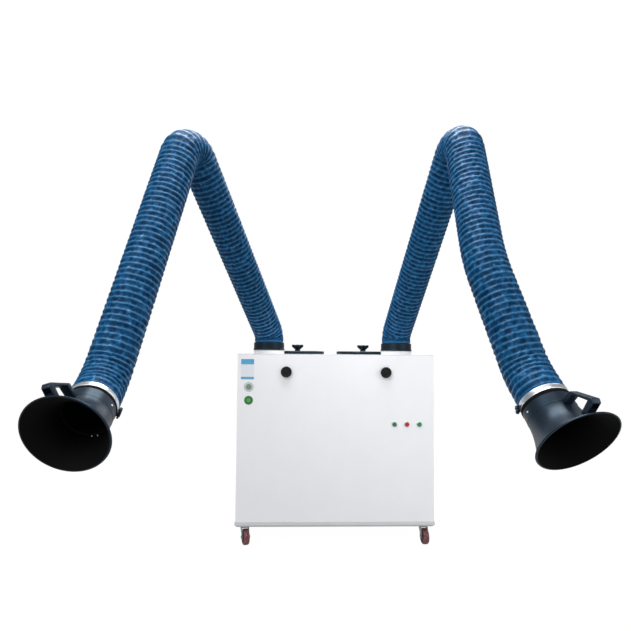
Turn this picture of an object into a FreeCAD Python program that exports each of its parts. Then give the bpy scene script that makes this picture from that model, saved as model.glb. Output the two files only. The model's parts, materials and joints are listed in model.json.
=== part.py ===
import FreeCAD, Part
import math
import os

# Twin-arm mobile fume extractor: a sheet metal cabinet on four castors, with two jointed arms
# inside blue ribbed hoses, each ending in a trumpet hood. Millimetres, degrees, +Z up.
# X runs to the right seen from the front, the front faces -Y, the origin lies on the floor.

# Cabinet
cabinet_width = 1100.0
cabinet_depth = 650.0
cabinet_height = 950.0
sheet = 2.0
fold_gap = 0.5
fold_depth = 18.0
base_height = 28.0
base_proud = 3.0
base_bevel = 12.0
base_rim = 14.0
base_floor = 3.0
frame_leg = 30.0
frame_wall = 3.0
front_rail_height = 40.0

# Castors
castor_height = 107.0
castor_inset_x = 46.0
castor_inset_y = 70.0
castor_plate_size = 72.0
castor_plate_thickness = 4.0
castor_bolt_radius = 4.0
castor_bolt_spacing = 52.0
castor_bolt_head = 5.0
castor_head_radius = 27.0
castor_head_height = 13.0
castor_trail = 28.0
castor_turn_left = 17.0
castor_turn_right = 4.0
wheel_radius = 43.0
wheel_width = 32.0
wheel_crown = 4.0
hub_radius = 14.0
hub_recess = 4.0
axle_radius = 5.0
axle_head = 5.0
fork_wall = 3.0
fork_gap = 1.5
fork_leg_width = 26.0

# Controls on the front
control_inset = 152.0
control_drop = 387.0
control_spacing = 70.0
control_hole_radius = 11.2
bezel_radius = 15.5
bezel_bore = 10.6
bezel_proud = 6.0
button_radius = 10.2
bezel_floor = 0.8
button_cap_radius = 12.2
button_cap_gap = 0.4
button_travel = 4.0
button_proud = 3.0
button_stem_radius = 4.0
button_stem_length = 34.0
lens_rise = 6.0
control_box_side = 40.0
control_box_height = 110.0
control_box_depth = 70.0
box_wall = 1.5

# Hand knobs that hold the front panel
panel_knob_inset = 271.0
panel_knob_drop = 99.0
panel_knob_radius = 31.0
panel_knob_depth = 22.0
panel_stud_radius = 5.0
stud_clearance = 0.3
stud_reach = 12.0

# Filters and their lids
lid_x = 213.0
lid_inset_y = 183.0
lid_radius = 172.0
lid_height = 16.0
lid_plate = 4.0
gasket_height = 4.0
gasket_width = 15.0
filter_radius = 146.0
filter_pleat_depth = 20.0
filter_pleats = 48
filter_bore_radius = 108.0
filter_cap_height = 12.0
filter_head_gap = 6.0
rod_radius = 6.0
rod_clearance = 0.3
rod_bridge_width = 30.0
rod_bridge_thickness = 6.0
rod_reach = 25.0
lid_knob_hub_radius = 18.0
lid_knob_span = 75.0
lid_knob_wing = 14.0
lid_knob_height = 42.0
lid_knob_hub_height = 20.0

# Inside of the cabinet
partition_z = 482.0
partition_thickness = 3.0
filter_port_radius = 100.0
tray_width = 700.0
tray_back_gap = 58.5
tray_height = 40.0
tray_front_gap = 12.0
fan_y = 10.0
fan_radius = 158.0
fan_growth = 14.0
fan_height = 120.0
fan_wall = 2.0
fan_tongue = 12.0
fan_inlet_radius = 92.0
impeller_radius = 138.0
impeller_height = 80.0
impeller_plate = 3.0
impeller_eye = 88.0
impeller_blades = 9
impeller_sweep = 55.0
blade_thickness = 3.0
impeller_hub_radius = 28.0
shaft_radius = 12.0
motor_radius = 92.0
motor_height = 190.0
motor_flange_radius = 118.0
motor_flange = 12.0
motor_fins = 20
motor_fin = 9.0
motor_fin_thickness = 4.0
motor_foot = 220.0
motor_foot_thickness = 6.0
louvre_width = 170.0
louvre_slot = 9.0
louvre_pitch = 26.0
louvre_rows = 8
louvre_columns = 2
louvre_spacing = 230.0
louvre_rise = 120.0
gland_inset = 80.0
gland_rise = 62.0
gland_bore_radius = 6.5
gland_thread_radius = 10.0
gland_nut_radius = 15.0
gland_length = 26.0

# Arm base
arm_x = 388.0
arm_step_y = 214.0
spigot_height = 20.0
spigot_radius = 92.0
spigot_bore = 78.0
spigot_wall = 3.0
spigot_drop = 40.0
bearing_wall = 2.4
bearing_plate = 3.0
bearing_drop = 25.0
run_gap = 0.3
turntable_floor = 6.0
turntable_radius = 91.0
turntable_flare = 3.0
turntable_rise = 68.0
turntable_skirt = 3.2
turntable_skirt_drop = 24.0

# Hose
hose_bore = 81.0
hose_cuff_radius = 84.0
hose_crest_radius = 87.5
hose_valley_radius = 83.5
hose_ribs = 102
hose_base_cuff = 46.0
hose_hood_cuff = 32.0
shoulder_bend = 95.0
elbow_bend = 92.0
wrist_bend = 245.0
elbow_lift = 76.0
bow_bend = 900.0
bow_place = 0.6
fit_gap = 0.5

# Arm skeleton
shoulder_rise = 122.0
lower_length = 1194.0
forearm_length = 1147.0
hood_reach = 152.0
tube_radius = 15.0
tube_wall = 2.5
knuckle_radius = 18.0
lug_width = 14.0
cheek = 6.0
pin_radius = 6.0
pin_head_radius = 9.0
pin_head = 4.0
pin_gap = 0.08
knuckle_clear = 36.0
clevis_block = 16.0
wrist_stud_radius = 10.0
wrist_hub_radius = 20.0
wrist_hub_thickness = 14.0
wrist_nut_radius = 15.0
wrist_nut_thickness = 8.0
wrist_drop = 60.0

# How the arms stand, in degrees: heading outward from straight ahead, rise of the lower arm,
# angle inside the elbow, heading and dip of the hood, and how far its handle is rolled outward;
# the bow is how far the slack hose lies off the middle of the forearm
arm_stand = {
    "left": {"side": -1, "heading": 23.4, "rise": 43.1, "elbow": 71.8,
             "hood_heading": -1.0, "hood_dip": 31.0, "hood_roll": 43.0, "bow": 0.0},
    "right": {"side": 1, "heading": 9.7, "rise": 46.1, "elbow": 69.0,
              "hood_heading": 11.0, "hood_dip": 46.0, "hood_roll": 25.0, "bow": -56.0},
}

# Hood
hood_wall = 3.0
hood_sleeve = 60.0
hood_neck_radius = 86.0
hood_neck_length = 48.0
hood_ridge = 2.5
hood_ridge_width = 5.0
hood_flare_length = 122.0
hood_mouth_radius = 139.0
hood_mouth_offset = 28.0
hood_mouth_slant = 5.0
hood_flare_power = 2.0
hood_sections = 6
hood_rim = 3.0
hood_rim_height = 5.0
bracket_bar = 24.0
bracket_cross_height = 12.0
clamp_width = 20.0
clamp_thickness = 1.8
clamp_inset = 16.0
clamp_turn = 25.0
clamp_lug = 14.0
clamp_bolt_radius = 4.0
clamp_bolt_length = 46.0
handle_from = 47.0
handle_turn = 24.0
handle_width = 34.0
handle_rise = 46.0
handle_length = 99.0
handle_bar = 16.0
handle_post = 24.0
handle_slope = 66.0
handle_recess = 24.0
handle_recess_wall = 5.0

# Places worked out from the sizes
Vector = FreeCAD.Vector
UP = Vector(0, 0, 1)
base_z = castor_height
rim_z = base_z + base_height
top_z = base_z + cabinet_height
roof_z = top_z - sheet
front_y = -cabinet_depth / 2
back_y = cabinet_depth / 2
side_x = cabinet_width / 2
control_x = side_x - control_inset
panel_knob_x = side_x - panel_knob_inset
gland_x = side_x - gland_inset
control_box_width = 2 * (control_spacing + control_box_side)
frame_front_y = front_y + sheet + fold_depth + fold_gap
frame_back_y = back_y - sheet
lid_y = back_y - lid_inset_y
arm_y = lid_y - arm_step_y
tray_y = frame_front_y + tray_front_gap
tray_depth = lid_y - filter_radius - tray_back_gap - tray_y
frame_x = side_x - sheet
control_z = top_z - control_drop
panel_knob_z = top_z - panel_knob_drop
lid_z = top_z + gasket_height
lid_top_z = lid_z + lid_height
rod_bore = rod_radius + rod_clearance
lug_half = lug_width / 2
cheek_in = lug_half + run_gap
cheek_out = cheek_in + cheek
pin_bore = pin_radius + pin_gap
fan_floor_z = base_z + base_floor + motor_foot_thickness + motor_height + motor_flange
fan_top_z = fan_floor_z + fan_height


def box(x0, x1, y0, y1, z0, z1):
    """Block between two corners."""
    return Part.makeBox(x1 - x0, y1 - y0, z1 - z0, Vector(x0, y0, z0))


def rod(radius, start, end):
    """Round bar from one point to another."""
    return Part.makeCylinder(radius, (end - start).Length, start, end - start)


def turned(profile, axis=UP):
    """Body of revolution about Z from (radius, height) points, then laid along an axis."""
    points = [Vector(r, 0, z) for r, z in profile]
    face = Part.Face(Part.makePolygon(points + points[:1]))
    shape = face.revolve(Vector(0, 0, 0), UP, 360)
    if axis != UP:
        shape.Placement = FreeCAD.Placement(Vector(0, 0, 0), FreeCAD.Rotation(UP, axis))
    return shape


def moved(shape, x=0.0, y=0.0, z=0.0):
    """Copy of a shape shifted by a distance."""
    copy = shape.copy()
    copy.translate(Vector(x, y, z))
    return copy


def set_on(shape, origin, x_axis, z_axis):
    """Copy of a shape modelled at the origin, carried to a place with given X and Z axes."""
    y_axis = z_axis.cross(x_axis)
    rows = []
    for part in ("x", "y", "z"):
        rows += [getattr(v, part) for v in (x_axis, y_axis, z_axis, origin)]
    copy = shape.copy()
    copy.transformShape(FreeCAD.Matrix(*rows, 0, 0, 0, 1))
    return copy


def extruded(points, way):
    """Prism of a closed outline of points."""
    return Part.Face(Part.makePolygon(points + points[:1])).extrude(way)


def save(name, *solids):
    """Write one node, as one solid or as a group of separate ones."""
    shape = solids[0] if len(solids) == 1 else Part.makeCompound(list(solids))
    if not shape.isValid():
        print("not valid:", name)
    shape.exportStep("parts/" + name + ".step")


# Cabinet shell


def base_tray():
    """Bottom pan with a bevelled lip that stands a little proud of the panels."""
    x = side_x + base_proud
    y = cabinet_depth / 2 + base_proud
    pan = box(-x, x, -y, y, base_z, rim_z)
    under = [e for e in pan.Edges if all(abs(v.Z - base_z) < 1e-6 for v in e.Vertexes)]
    pan = pan.makeChamfer(base_bevel, under)
    inner_x = side_x - base_rim
    inner_y = cabinet_depth / 2 - base_rim
    return pan.cut(box(-inner_x, inner_x, -inner_y, inner_y, base_z + base_floor, rim_z + 1))


def frame_ring(z):
    """Flat frame of bar all round the inside, its top at a height."""
    outer = box(-frame_x, frame_x, frame_front_y, frame_back_y, z - frame_wall, z)
    return outer.cut(box(-frame_x + frame_leg, frame_x - frame_leg, frame_front_y + frame_leg,
                         frame_back_y - frame_leg, z - frame_wall, z))


def corner_frame():
    """Four angle posts, a top ring, a ring that carries the partition and a front rail for the knobs."""
    body = frame_ring(roof_z).fuse(frame_ring(partition_z))
    for sx in (-1, 1):
        for y, sy in ((frame_front_y, 1), (frame_back_y, -1)):
            x_ends = sorted((sx * frame_x, sx * (frame_x - frame_leg)))
            x_web = sorted((sx * frame_x, sx * (frame_x - frame_wall)))
            y_ends = sorted((y, y + sy * frame_leg))
            y_web = sorted((y, y + sy * frame_wall))
            body = body.fuse(box(*x_ends, *y_web, rim_z, roof_z))
            body = body.fuse(box(*x_web, *y_ends, rim_z, roof_z))
    rail = box(-frame_x, frame_x, frame_front_y, frame_front_y + frame_wall,
               panel_knob_z - front_rail_height / 2, panel_knob_z + front_rail_height / 2)
    body = body.fuse(rail).removeSplitter()
    for sx in (-1, 1):
        start = Vector(sx * panel_knob_x, frame_front_y - 1, panel_knob_z)
        hole = rod(panel_stud_radius + stud_clearance, start, start + Vector(0, frame_wall + 2, 0))
        body = body.cut(hole)
    return body


def side_panel(side):
    """Plain sheet between the front and the back panel."""
    x_ends = sorted((side * side_x, side * (side_x - sheet)))
    return box(*x_ends, front_y + sheet, back_y - sheet, rim_z, roof_z)


def slot(width, height, depth):
    """Slot with round ends, centred, lying along X and cut through along Y."""
    half = (width - height) / 2
    body = box(-half, half, -depth / 2, depth / 2, -height / 2, height / 2)
    for x in (-half, half):
        body = body.fuse(rod(height / 2, Vector(x, -depth / 2, 0), Vector(x, depth / 2, 0)))
    return body


def back_panel():
    """Rear sheet with the exhaust slots low down and the hole of the cable gland."""
    panel = box(-side_x, side_x, back_y - sheet, back_y, rim_z, roof_z)
    cutter = slot(louvre_width, louvre_slot, 4 * sheet)
    cuts = []
    for column in range(louvre_columns):
        x = (column - (louvre_columns - 1) / 2) * louvre_spacing
        for row in range(louvre_rows):
            z = rim_z + louvre_rise + row * louvre_pitch
            cuts.append(moved(cutter, x, back_y - sheet / 2, z))
    start = Vector(gland_x, back_y - 2 * sheet, rim_z + gland_rise)
    cuts.append(rod(gland_thread_radius + fold_gap, start, start + Vector(0, 4 * sheet, 0)))
    return panel.cut(Part.makeCompound(cuts))


def top_panel():
    """Roof sheet with holes for both arm spigots and both filters."""
    roof = box(-side_x, side_x, front_y, back_y, roof_z, top_z)
    for side in (-1, 1):
        start = Vector(side * arm_x, arm_y, roof_z - 1)
        roof = roof.cut(rod(spigot_bore + spigot_wall + run_gap, start, start + Vector(0, 0, sheet + 2)))
        start = Vector(side * lid_x, lid_y, roof_z - 1)
        radius = lid_radius - gasket_width - filter_head_gap
        roof = roof.cut(rod(radius, start, start + Vector(0, 0, sheet + 2)))
    return roof


def control_places():
    """Centres of the lamp, the stop button and the start button on the front face."""
    return [Vector(control_x + k * control_spacing, front_y, control_z) for k in (-1, 0, 1)]


def front_panel():
    """Front sheet with folded edges, the control holes and the stud holes of the hand knobs."""
    inner_x = side_x - sheet - fold_gap
    low = rim_z
    high = roof_z - fold_gap
    fold_y = front_y + sheet + fold_depth
    panel = box(-side_x, side_x, front_y, front_y + sheet, low, high)
    for z in (low, high - sheet):
        panel = panel.fuse(box(-inner_x, inner_x, front_y + sheet, fold_y, z, z + sheet))
    for x in (-inner_x, inner_x - sheet):
        panel = panel.fuse(box(x, x + sheet, front_y + sheet, fold_y, low, high))
    panel = panel.removeSplitter()
    through = Vector(0, sheet + 2, 0)
    for place in control_places():
        panel = panel.cut(rod(control_hole_radius, place - Vector(0, 1, 0), place - Vector(0, 1, 0) + through))
    for side in (-1, 1):
        start = Vector(side * panel_knob_x, front_y - 1, panel_knob_z)
        panel = panel.cut(rod(panel_stud_radius + stud_clearance, start, start + through))
    return panel


# Controls and hand knobs, turned about the front-to-back axis


def control_box():
    """Open-backed sheet box behind the controls, seated on the front panel."""
    x = control_box_width / 2
    z = control_box_height / 2
    y = front_y + sheet
    outer = box(control_x - x, control_x + x, y, y + control_box_depth, control_z - z, control_z + z)
    x -= box_wall
    z -= box_wall
    depth = control_box_depth - box_wall
    return outer.cut(box(control_x - x, control_x + x, y, y + depth, control_z - z, control_z + z))


def bezel():
    """Ring nut and barrel of one control, modelled looking along its axis."""
    barrel = control_hole_radius - fold_gap / 2
    pocket = button_cap_radius + button_cap_gap
    profile = [(bezel_bore, -22.0), (barrel, -22.0), (barrel, 0.0), (bezel_radius, 0.0),
               (bezel_radius, bezel_proud * 0.6), (bezel_radius - bezel_proud * 0.3, bezel_proud),
               (pocket, bezel_proud), (pocket, bezel_floor), (bezel_bore, bezel_floor)]
    return turned(profile, Vector(0, -1, 0))


def button():
    """Round push cap with a stem, its face softly bevelled."""
    face = bezel_proud + button_proud
    under = bezel_floor + button_travel + button_cap_gap
    profile = [(0, -button_stem_length), (button_stem_radius, -button_stem_length),
               (button_stem_radius, -10.0), (button_radius, -10.0), (button_radius, under),
               (button_cap_radius, under), (button_cap_radius, face - 1.5), (button_cap_radius - 1.5, face), (0, face)]
    return turned(profile, Vector(0, -1, 0))


def pilot_lens():
    """Domed lamp lens."""
    edge = bezel_proud
    pocket = button_cap_radius + button_cap_gap
    profile = [(0, -15.0), (bezel_bore, -15.0), (bezel_bore, bezel_floor), (pocket, bezel_floor), (pocket, edge)]
    for k in range(1, 5):
        angle = math.radians(90 * k / 4)
        profile.append((pocket * math.cos(angle), edge + lens_rise * math.sin(angle)))
    return turned(profile, Vector(0, -1, 0))


def panel_knob():
    """Moulded hand knob with a ringed face and its stud."""
    r = panel_knob_radius
    d = panel_knob_depth
    tip = -(sheet + fold_depth + fold_gap + frame_wall + stud_reach)
    profile = [(0, tip), (panel_stud_radius, tip), (panel_stud_radius, 0.0), (r * 0.45, 0.0),
               (r * 0.5, d * 0.25), (r * 0.92, d * 0.35), (r, d * 0.5), (r, d * 0.8), (r * 0.9, d),
               (r * 0.72, d), (r * 0.66, d * 0.85), (r * 0.4, d * 0.85), (r * 0.36, d * 0.95), (0, d * 0.95)]
    return turned(profile, Vector(0, -1, 0))


# Filters and lids


def filter_lid():
    """Shallow black cover with a turned-down rim, its underside at height zero."""
    rim = lid_radius - gasket_width
    h = lid_height
    profile = [(rim, 0.0), (lid_radius, 0.0), (lid_radius, h - 5.0), (lid_radius - 3.0, h - 1.5),
               (lid_radius - 9.0, h), (rod_bore, h), (rod_bore, h - lid_plate), (rim, h - lid_plate)]
    return turned(profile)


def lid_knob():
    """Hub with four wings and a blind bore for the rod, standing on the lid."""
    r = lid_knob_hub_radius
    hub = turned([(0, 0), (r, 0), (r * 0.85, lid_knob_hub_height), (0, lid_knob_hub_height)])
    half = lid_knob_span / 2
    wing = lid_knob_wing / 2
    body = hub
    for turn in (0, 90):
        outline = [Vector(-r * 0.8, 0, lid_knob_hub_height * 0.4), Vector(r * 0.8, 0, lid_knob_hub_height * 0.4),
                   Vector(half, 0, lid_knob_height * 0.72), Vector(half - 5, 0, lid_knob_height),
                   Vector(-half + 5, 0, lid_knob_height), Vector(-half, 0, lid_knob_height * 0.72)]
        blade = extruded(outline, Vector(0, 2 * wing, 0))
        blade.translate(Vector(0, -wing, 0))
        blade.rotate(Vector(0, 0, 0), UP, turn)
        body = body.fuse(blade)
    bore = rod(rod_bore, Vector(0, 0, -1), Vector(0, 0, rod_reach + 2))
    return body.removeSplitter().cut(bore)


def filter_cartridge():
    """Pleated tube with two end caps, standing on the partition."""
    low = partition_z + partition_thickness
    high = lid_z + lid_height - lid_plate
    points = []
    for k in range(2 * filter_pleats):
        r = filter_radius - (k % 2) * filter_pleat_depth
        angle = math.pi * k / filter_pleats
        points.append(Vector(r * math.cos(angle), r * math.sin(angle), low + filter_cap_height))
    media = extruded(points, Vector(0, 0, high - low - 2 * filter_cap_height))
    bore_top = high - filter_cap_height
    media = media.cut(rod(filter_bore_radius, Vector(0, 0, low), Vector(0, 0, bore_top)))
    foot = turned([(filter_bore_radius, low), (filter_radius, low), (filter_radius, low + filter_cap_height),
                   (filter_bore_radius, low + filter_cap_height)])
    head = turned([(rod_bore, bore_top), (filter_radius, bore_top), (filter_radius, high), (rod_bore, high)])
    return media.fuse([foot, head]).removeSplitter()


def filter_rod():
    """Tie rod with a bridge bar under the partition."""
    reach = filter_port_radius + rod_bridge_width / 2
    bridge = box(-reach, reach, -rod_bridge_width / 2, rod_bridge_width / 2,
                 partition_z - rod_bridge_thickness, partition_z)
    return bridge.fuse(rod(rod_radius, Vector(0, 0, partition_z), Vector(0, 0, lid_top_z + rod_reach)))


def partition_plate():
    """Plate between the filter chamber and the fan chamber, notched round the posts."""
    x = frame_x - fold_gap
    low, high = partition_z, partition_z + partition_thickness
    plate = box(-x, x, frame_front_y, frame_back_y - fold_gap, low, high)
    notch = frame_leg + fold_gap
    for sx in (-1, 1):
        x_ends = sorted((sx * frame_x, sx * (frame_x - notch)))
        plate = plate.cut(box(*x_ends, frame_front_y, frame_front_y + notch, low, high))
        plate = plate.cut(box(*x_ends, frame_back_y - notch, frame_back_y, low, high))
        start = Vector(sx * lid_x, lid_y, low - 1)
        plate = plate.cut(rod(filter_port_radius, start, start + Vector(0, 0, partition_thickness + 2)))
    return plate


def dust_tray():
    """Open pan that stands on the partition in front of the filters."""
    y = tray_y
    z = partition_z + partition_thickness
    x = tray_width / 2
    outer = box(-x, x, y, y + tray_depth, z, z + tray_height)
    return outer.cut(box(-x + box_wall, x - box_wall, y + box_wall, y + tray_depth - box_wall,
                         z + box_wall, z + tray_height))


# Fan


def volute(inset, low, high, end_y):
    """Spiral casing of four growing quarter arcs with a straight outlet to the back."""
    centre = Vector(0, fan_y, low)
    radius = fan_radius - inset
    start = centre + Vector(radius, 0, 0)
    edges = []
    for k in range(4):
        angles = [math.radians(90 * k + step) for step in (0, 45, 90)]
        arc = [centre + Vector(radius * math.cos(a), radius * math.sin(a), 0) for a in angles]
        edges.append(Part.Arc(*arc).toShape())
        last = arc[2]
        centre = centre - (last - centre).normalize() * fan_growth
        radius += fan_growth
    throat = start + Vector(fan_tongue + 2 * inset, 0, 0)
    corners = [last, Vector(last.x, end_y, low), Vector(throat.x, end_y, low), throat, start]
    for a, b in zip(corners, corners[1:]):
        edges.append(Part.LineSegment(a, b).toShape())
    return Part.Face(Part.Wire(edges)).extrude(Vector(0, 0, high - low))


def fan_housing():
    """Scroll with an inlet collar up to the partition and an outlet at the back panel."""
    end_y = back_y - sheet - fold_gap
    body = volute(0, fan_floor_z, fan_top_z, end_y)
    body = body.cut(volute(fan_wall, fan_floor_z + fan_wall, fan_top_z - fan_wall, end_y + 1))
    eye = Vector(0, fan_y, fan_top_z - 2 * fan_wall)
    collar = rod(fan_inlet_radius + fan_wall, eye, Vector(0, fan_y, partition_z - frame_wall))
    body = body.fuse(collar).cut(rod(fan_inlet_radius, eye - UP * fan_wall, Vector(0, fan_y, partition_z)))
    shaft_hole = rod(shaft_radius + run_gap * 10, Vector(0, fan_y, fan_floor_z - 1),
                     Vector(0, fan_y, fan_floor_z + fan_wall + 1))
    return body.cut(shaft_hole)


def impeller():
    """Backward curved wheel with back plate, blades, front ring, hub and shaft."""
    low = fan_floor_z + fan_wall + 8.0
    high = low + impeller_height
    plate = turned([(0, low), (impeller_radius, low), (impeller_radius, low + impeller_plate),
                    (impeller_hub_radius, low + impeller_plate), (impeller_hub_radius, low + 30.0), (0, low + 30.0)])
    ring = turned([(impeller_eye, high - impeller_plate), (impeller_radius, high - impeller_plate),
                   (impeller_radius, high), (impeller_eye, high)])
    blade_root = impeller_hub_radius + 14.0
    sweep = math.radians(impeller_sweep)
    ends = [Vector(blade_root, 0, low), Vector((blade_root + impeller_radius) / 2 * math.cos(sweep * 0.35),
            (blade_root + impeller_radius) / 2 * math.sin(sweep * 0.35), low),
            Vector((impeller_radius - 1) * math.cos(sweep), (impeller_radius - 1) * math.sin(sweep), low)]
    line = Part.Arc(*ends).toShape()
    blade = line.extrude(Vector(0, 0, impeller_height - impeller_plate / 2))
    blade = blade.makeOffsetShape(blade_thickness, 0.01, fill=True)
    body = plate.fuse(ring)
    for k in range(impeller_blades):
        copy = blade.copy()
        copy.rotate(Vector(0, 0, 0), UP, 360.0 * k / impeller_blades)
        body = body.fuse(copy)
    shaft_low = fan_floor_z - motor_flange - 20.0
    body = body.fuse(rod(shaft_radius, Vector(0, 0, shaft_low), Vector(0, 0, low + 1)))
    return moved(body.removeSplitter(), 0, fan_y, 0)


def fan_motor():
    """Finned motor standing on a foot plate, its flange under the scroll."""
    low = base_z + base_floor
    foot_top = low + motor_foot_thickness
    flange_low = fan_floor_z - motor_flange
    half = motor_foot / 2
    body = box(-half, half, -half, half, low, foot_top)
    body = body.fuse(rod(motor_radius, Vector(0, 0, foot_top), Vector(0, 0, flange_low)))
    body = body.fuse(rod(motor_flange_radius, Vector(0, 0, flange_low), Vector(0, 0, fan_floor_z)))
    for k in range(motor_fins):
        fin = box(motor_radius - 2, motor_radius + motor_fin, -motor_fin_thickness / 2, motor_fin_thickness / 2,
                  foot_top + 20, flange_low - 20)
        fin.rotate(Vector(0, 0, 0), UP, 360.0 * k / motor_fins)
        body = body.fuse(fin)
    bore_low = flange_low - 20.0 - run_gap
    bore = rod(shaft_radius + run_gap, Vector(0, 0, bore_low), Vector(0, 0, fan_floor_z + 1))
    return moved(body.removeSplitter().cut(bore), 0, fan_y, 0)


def cable_gland():
    """Cable entry with a hexagon and a domed nut round an open bore, set in the back panel."""
    nut = gland_nut_radius
    hexagon = [Vector(nut * math.cos(math.radians(60 * k)), nut * math.sin(math.radians(60 * k)), 0) for k in range(6)]
    body = extruded(hexagon, Vector(0, 0, 7))
    dome = turned([(0, 7.0), (nut * 0.86, 7.0), (nut * 0.86, gland_length - 6), (nut * 0.6, gland_length), (0, gland_length)])
    tail = rod(gland_thread_radius, Vector(0, 0, -sheet - 12), Vector(0, 0, 0))
    body = body.fuse([dome, tail]).removeSplitter()
    body = body.cut(rod(gland_bore_radius, Vector(0, 0, -sheet - 13), Vector(0, 0, gland_length + 1)))
    return set_on(body, Vector(gland_x, back_y, rim_z + gland_rise), Vector(1, 0, 0), Vector(0, 1, 0))


# Castors


def castor_plate():
    """Top plate under the base pan with four bolt heads, its upper face at height zero."""
    half = castor_plate_size / 2
    plate = box(-half, half, -half, half, -castor_plate_thickness, 0)
    hop = castor_bolt_spacing / 2
    for sx in (-1, 1):
        for sy in (-1, 1):
            at = Vector(sx * hop, sy * hop, -castor_plate_thickness)
            plate = plate.fuse(rod(castor_bolt_radius * 1.7, at, at - UP * castor_bolt_head))
    return plate


def castor_fork():
    """Pressed fork under a swivel head, with the axle through both legs."""
    axle_z = wheel_radius - castor_height
    head_low = -castor_plate_thickness - castor_head_height
    inner = wheel_width / 2 + fork_gap
    outer = inner + fork_wall
    half = fork_leg_width / 2
    body = turned([(0, head_low), (castor_head_radius, head_low), (castor_head_radius, head_low + 6),
                   (castor_head_radius * 0.8, -castor_plate_thickness), (0, -castor_plate_thickness)])
    crown = [Vector(-castor_head_radius, 0, head_low), Vector(castor_head_radius, 0, head_low),
             Vector(castor_trail + half, 0, axle_z), Vector(castor_trail - half, 0, axle_z)]
    legs = []
    for low, high in ((-outer, -inner), (inner, outer)):
        leg = extruded([p + Vector(0, low, 0) for p in crown], Vector(0, high - low, 0))
        eye = rod(half, Vector(castor_trail, low, axle_z), Vector(castor_trail, high, axle_z))
        legs += [leg, eye]
    bridge = box(-castor_head_radius, castor_head_radius, -outer, outer, head_low, head_low + fork_wall)
    body = body.fuse(legs + [bridge]).removeSplitter()
    hole = rod(axle_radius, Vector(castor_trail, -outer - 1, axle_z), Vector(castor_trail, outer + 1, axle_z))
    tip = outer + axle_head
    axle = rod(axle_radius, Vector(castor_trail, -tip, axle_z), Vector(castor_trail, tip, axle_z))
    for low, high in ((-tip, -outer), (outer, tip)):
        axle = axle.fuse(rod(axle_radius * 1.8, Vector(castor_trail, low, axle_z), Vector(castor_trail, high, axle_z)))
    return body.cut(hole), axle.removeSplitter()


def castor_wheel():
    """Crowned tread on a recessed hub, bored for the axle."""
    half = wheel_width / 2
    r = wheel_radius
    bore = axle_radius + pin_gap
    profile = [(bore, -half), (hub_radius, -half), (hub_radius + 3, -half + hub_recess),
               (r * 0.66, -half + hub_recess), (r * 0.72, -half), (r - wheel_crown, -half), (r, -half + wheel_crown * 1.6),
               (r, half - wheel_crown * 1.6), (r - wheel_crown, half), (r * 0.72, half),
               (r * 0.66, half - hub_recess), (hub_radius + 3, half - hub_recess), (hub_radius, half), (bore, half)]
    wheel = turned(profile, Vector(0, 1, 0))
    return moved(wheel, castor_trail, 0, wheel_radius - castor_height)


def castor_places():
    """Swivel axis of each castor under the base pan, by name."""
    x = side_x - castor_inset_x
    y = cabinet_depth / 2 - castor_inset_y
    return {"front_left": Vector(-x, -y, base_z), "front_right": Vector(x, -y, base_z),
            "rear_left": Vector(-x, y, base_z), "rear_right": Vector(x, y, base_z)}


def castor_way(name):
    """Direction in which a castor trails, a little turned as it was left after rolling."""
    turn = math.radians(castor_turn_left if name.endswith("left") else castor_turn_right)
    ahead = -1 if name.startswith("front") else 1
    return Vector(math.sin(turn), ahead * math.cos(turn), 0)


# Arms


def arm_frame(name):
    """Points and directions of one arm as it stands."""
    stand = arm_stand[name]
    side = stand["side"]
    heading = math.radians(stand["heading"])
    ahead = Vector(side * math.sin(heading), -math.cos(heading), 0)
    rise = math.radians(stand["rise"])
    lower = ahead * math.cos(rise) + UP * math.sin(rise)
    drop = math.radians(stand["rise"] + stand["elbow"] - 180)
    fore = ahead * math.cos(drop) + UP * math.sin(drop)
    hood_heading = math.radians(stand["hood_heading"])
    dip = math.radians(stand["hood_dip"])
    hood = Vector(side * math.sin(hood_heading), -math.cos(hood_heading), 0) * math.cos(dip) - UP * math.sin(dip)
    base = Vector(side * arm_x, arm_y, top_z)
    shoulder = base + UP * shoulder_rise
    elbow = shoulder + lower * lower_length
    wrist = elbow + fore * forearm_length
    tilt = fore.cross(hood).normalize()
    above = (UP - hood * UP.dot(hood)).normalize()
    outward = above.cross(hood) * side
    if outward.x * side < 0:
        outward = outward * -1
    roll = math.radians(stand["hood_roll"])
    handle = above * math.cos(roll) + outward * math.sin(roll)
    return {"side": side, "above": above, "outward": outward, "base": base, "shoulder": shoulder, "elbow": elbow, "wrist": wrist,
            "ahead": ahead, "lower": lower, "fore": fore, "hood": hood, "handle": handle,
            "pivot": ahead.cross(UP), "tilt": tilt, "bow": stand["bow"]}


def arm_spigot():
    """White flanged ring on the roof with a short tube below, at height zero."""
    tube = spigot_bore + spigot_wall
    return turned([(spigot_bore, -spigot_drop), (tube, -spigot_drop), (tube, 0), (spigot_radius, 0),
                   (spigot_radius, spigot_height - 2), (spigot_radius - 2, spigot_height), (spigot_bore, spigot_height)])


def swivel_bearing():
    """Plastic sleeve and washer in which the turntable runs."""
    inner = spigot_bore - bearing_wall
    outer = spigot_radius - 2
    high = spigot_height + bearing_plate
    return turned([(inner, spigot_height - bearing_drop), (spigot_bore, spigot_height - bearing_drop),
                   (spigot_bore, spigot_height), (outer, spigot_height), (outer, high), (inner, high)])


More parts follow.
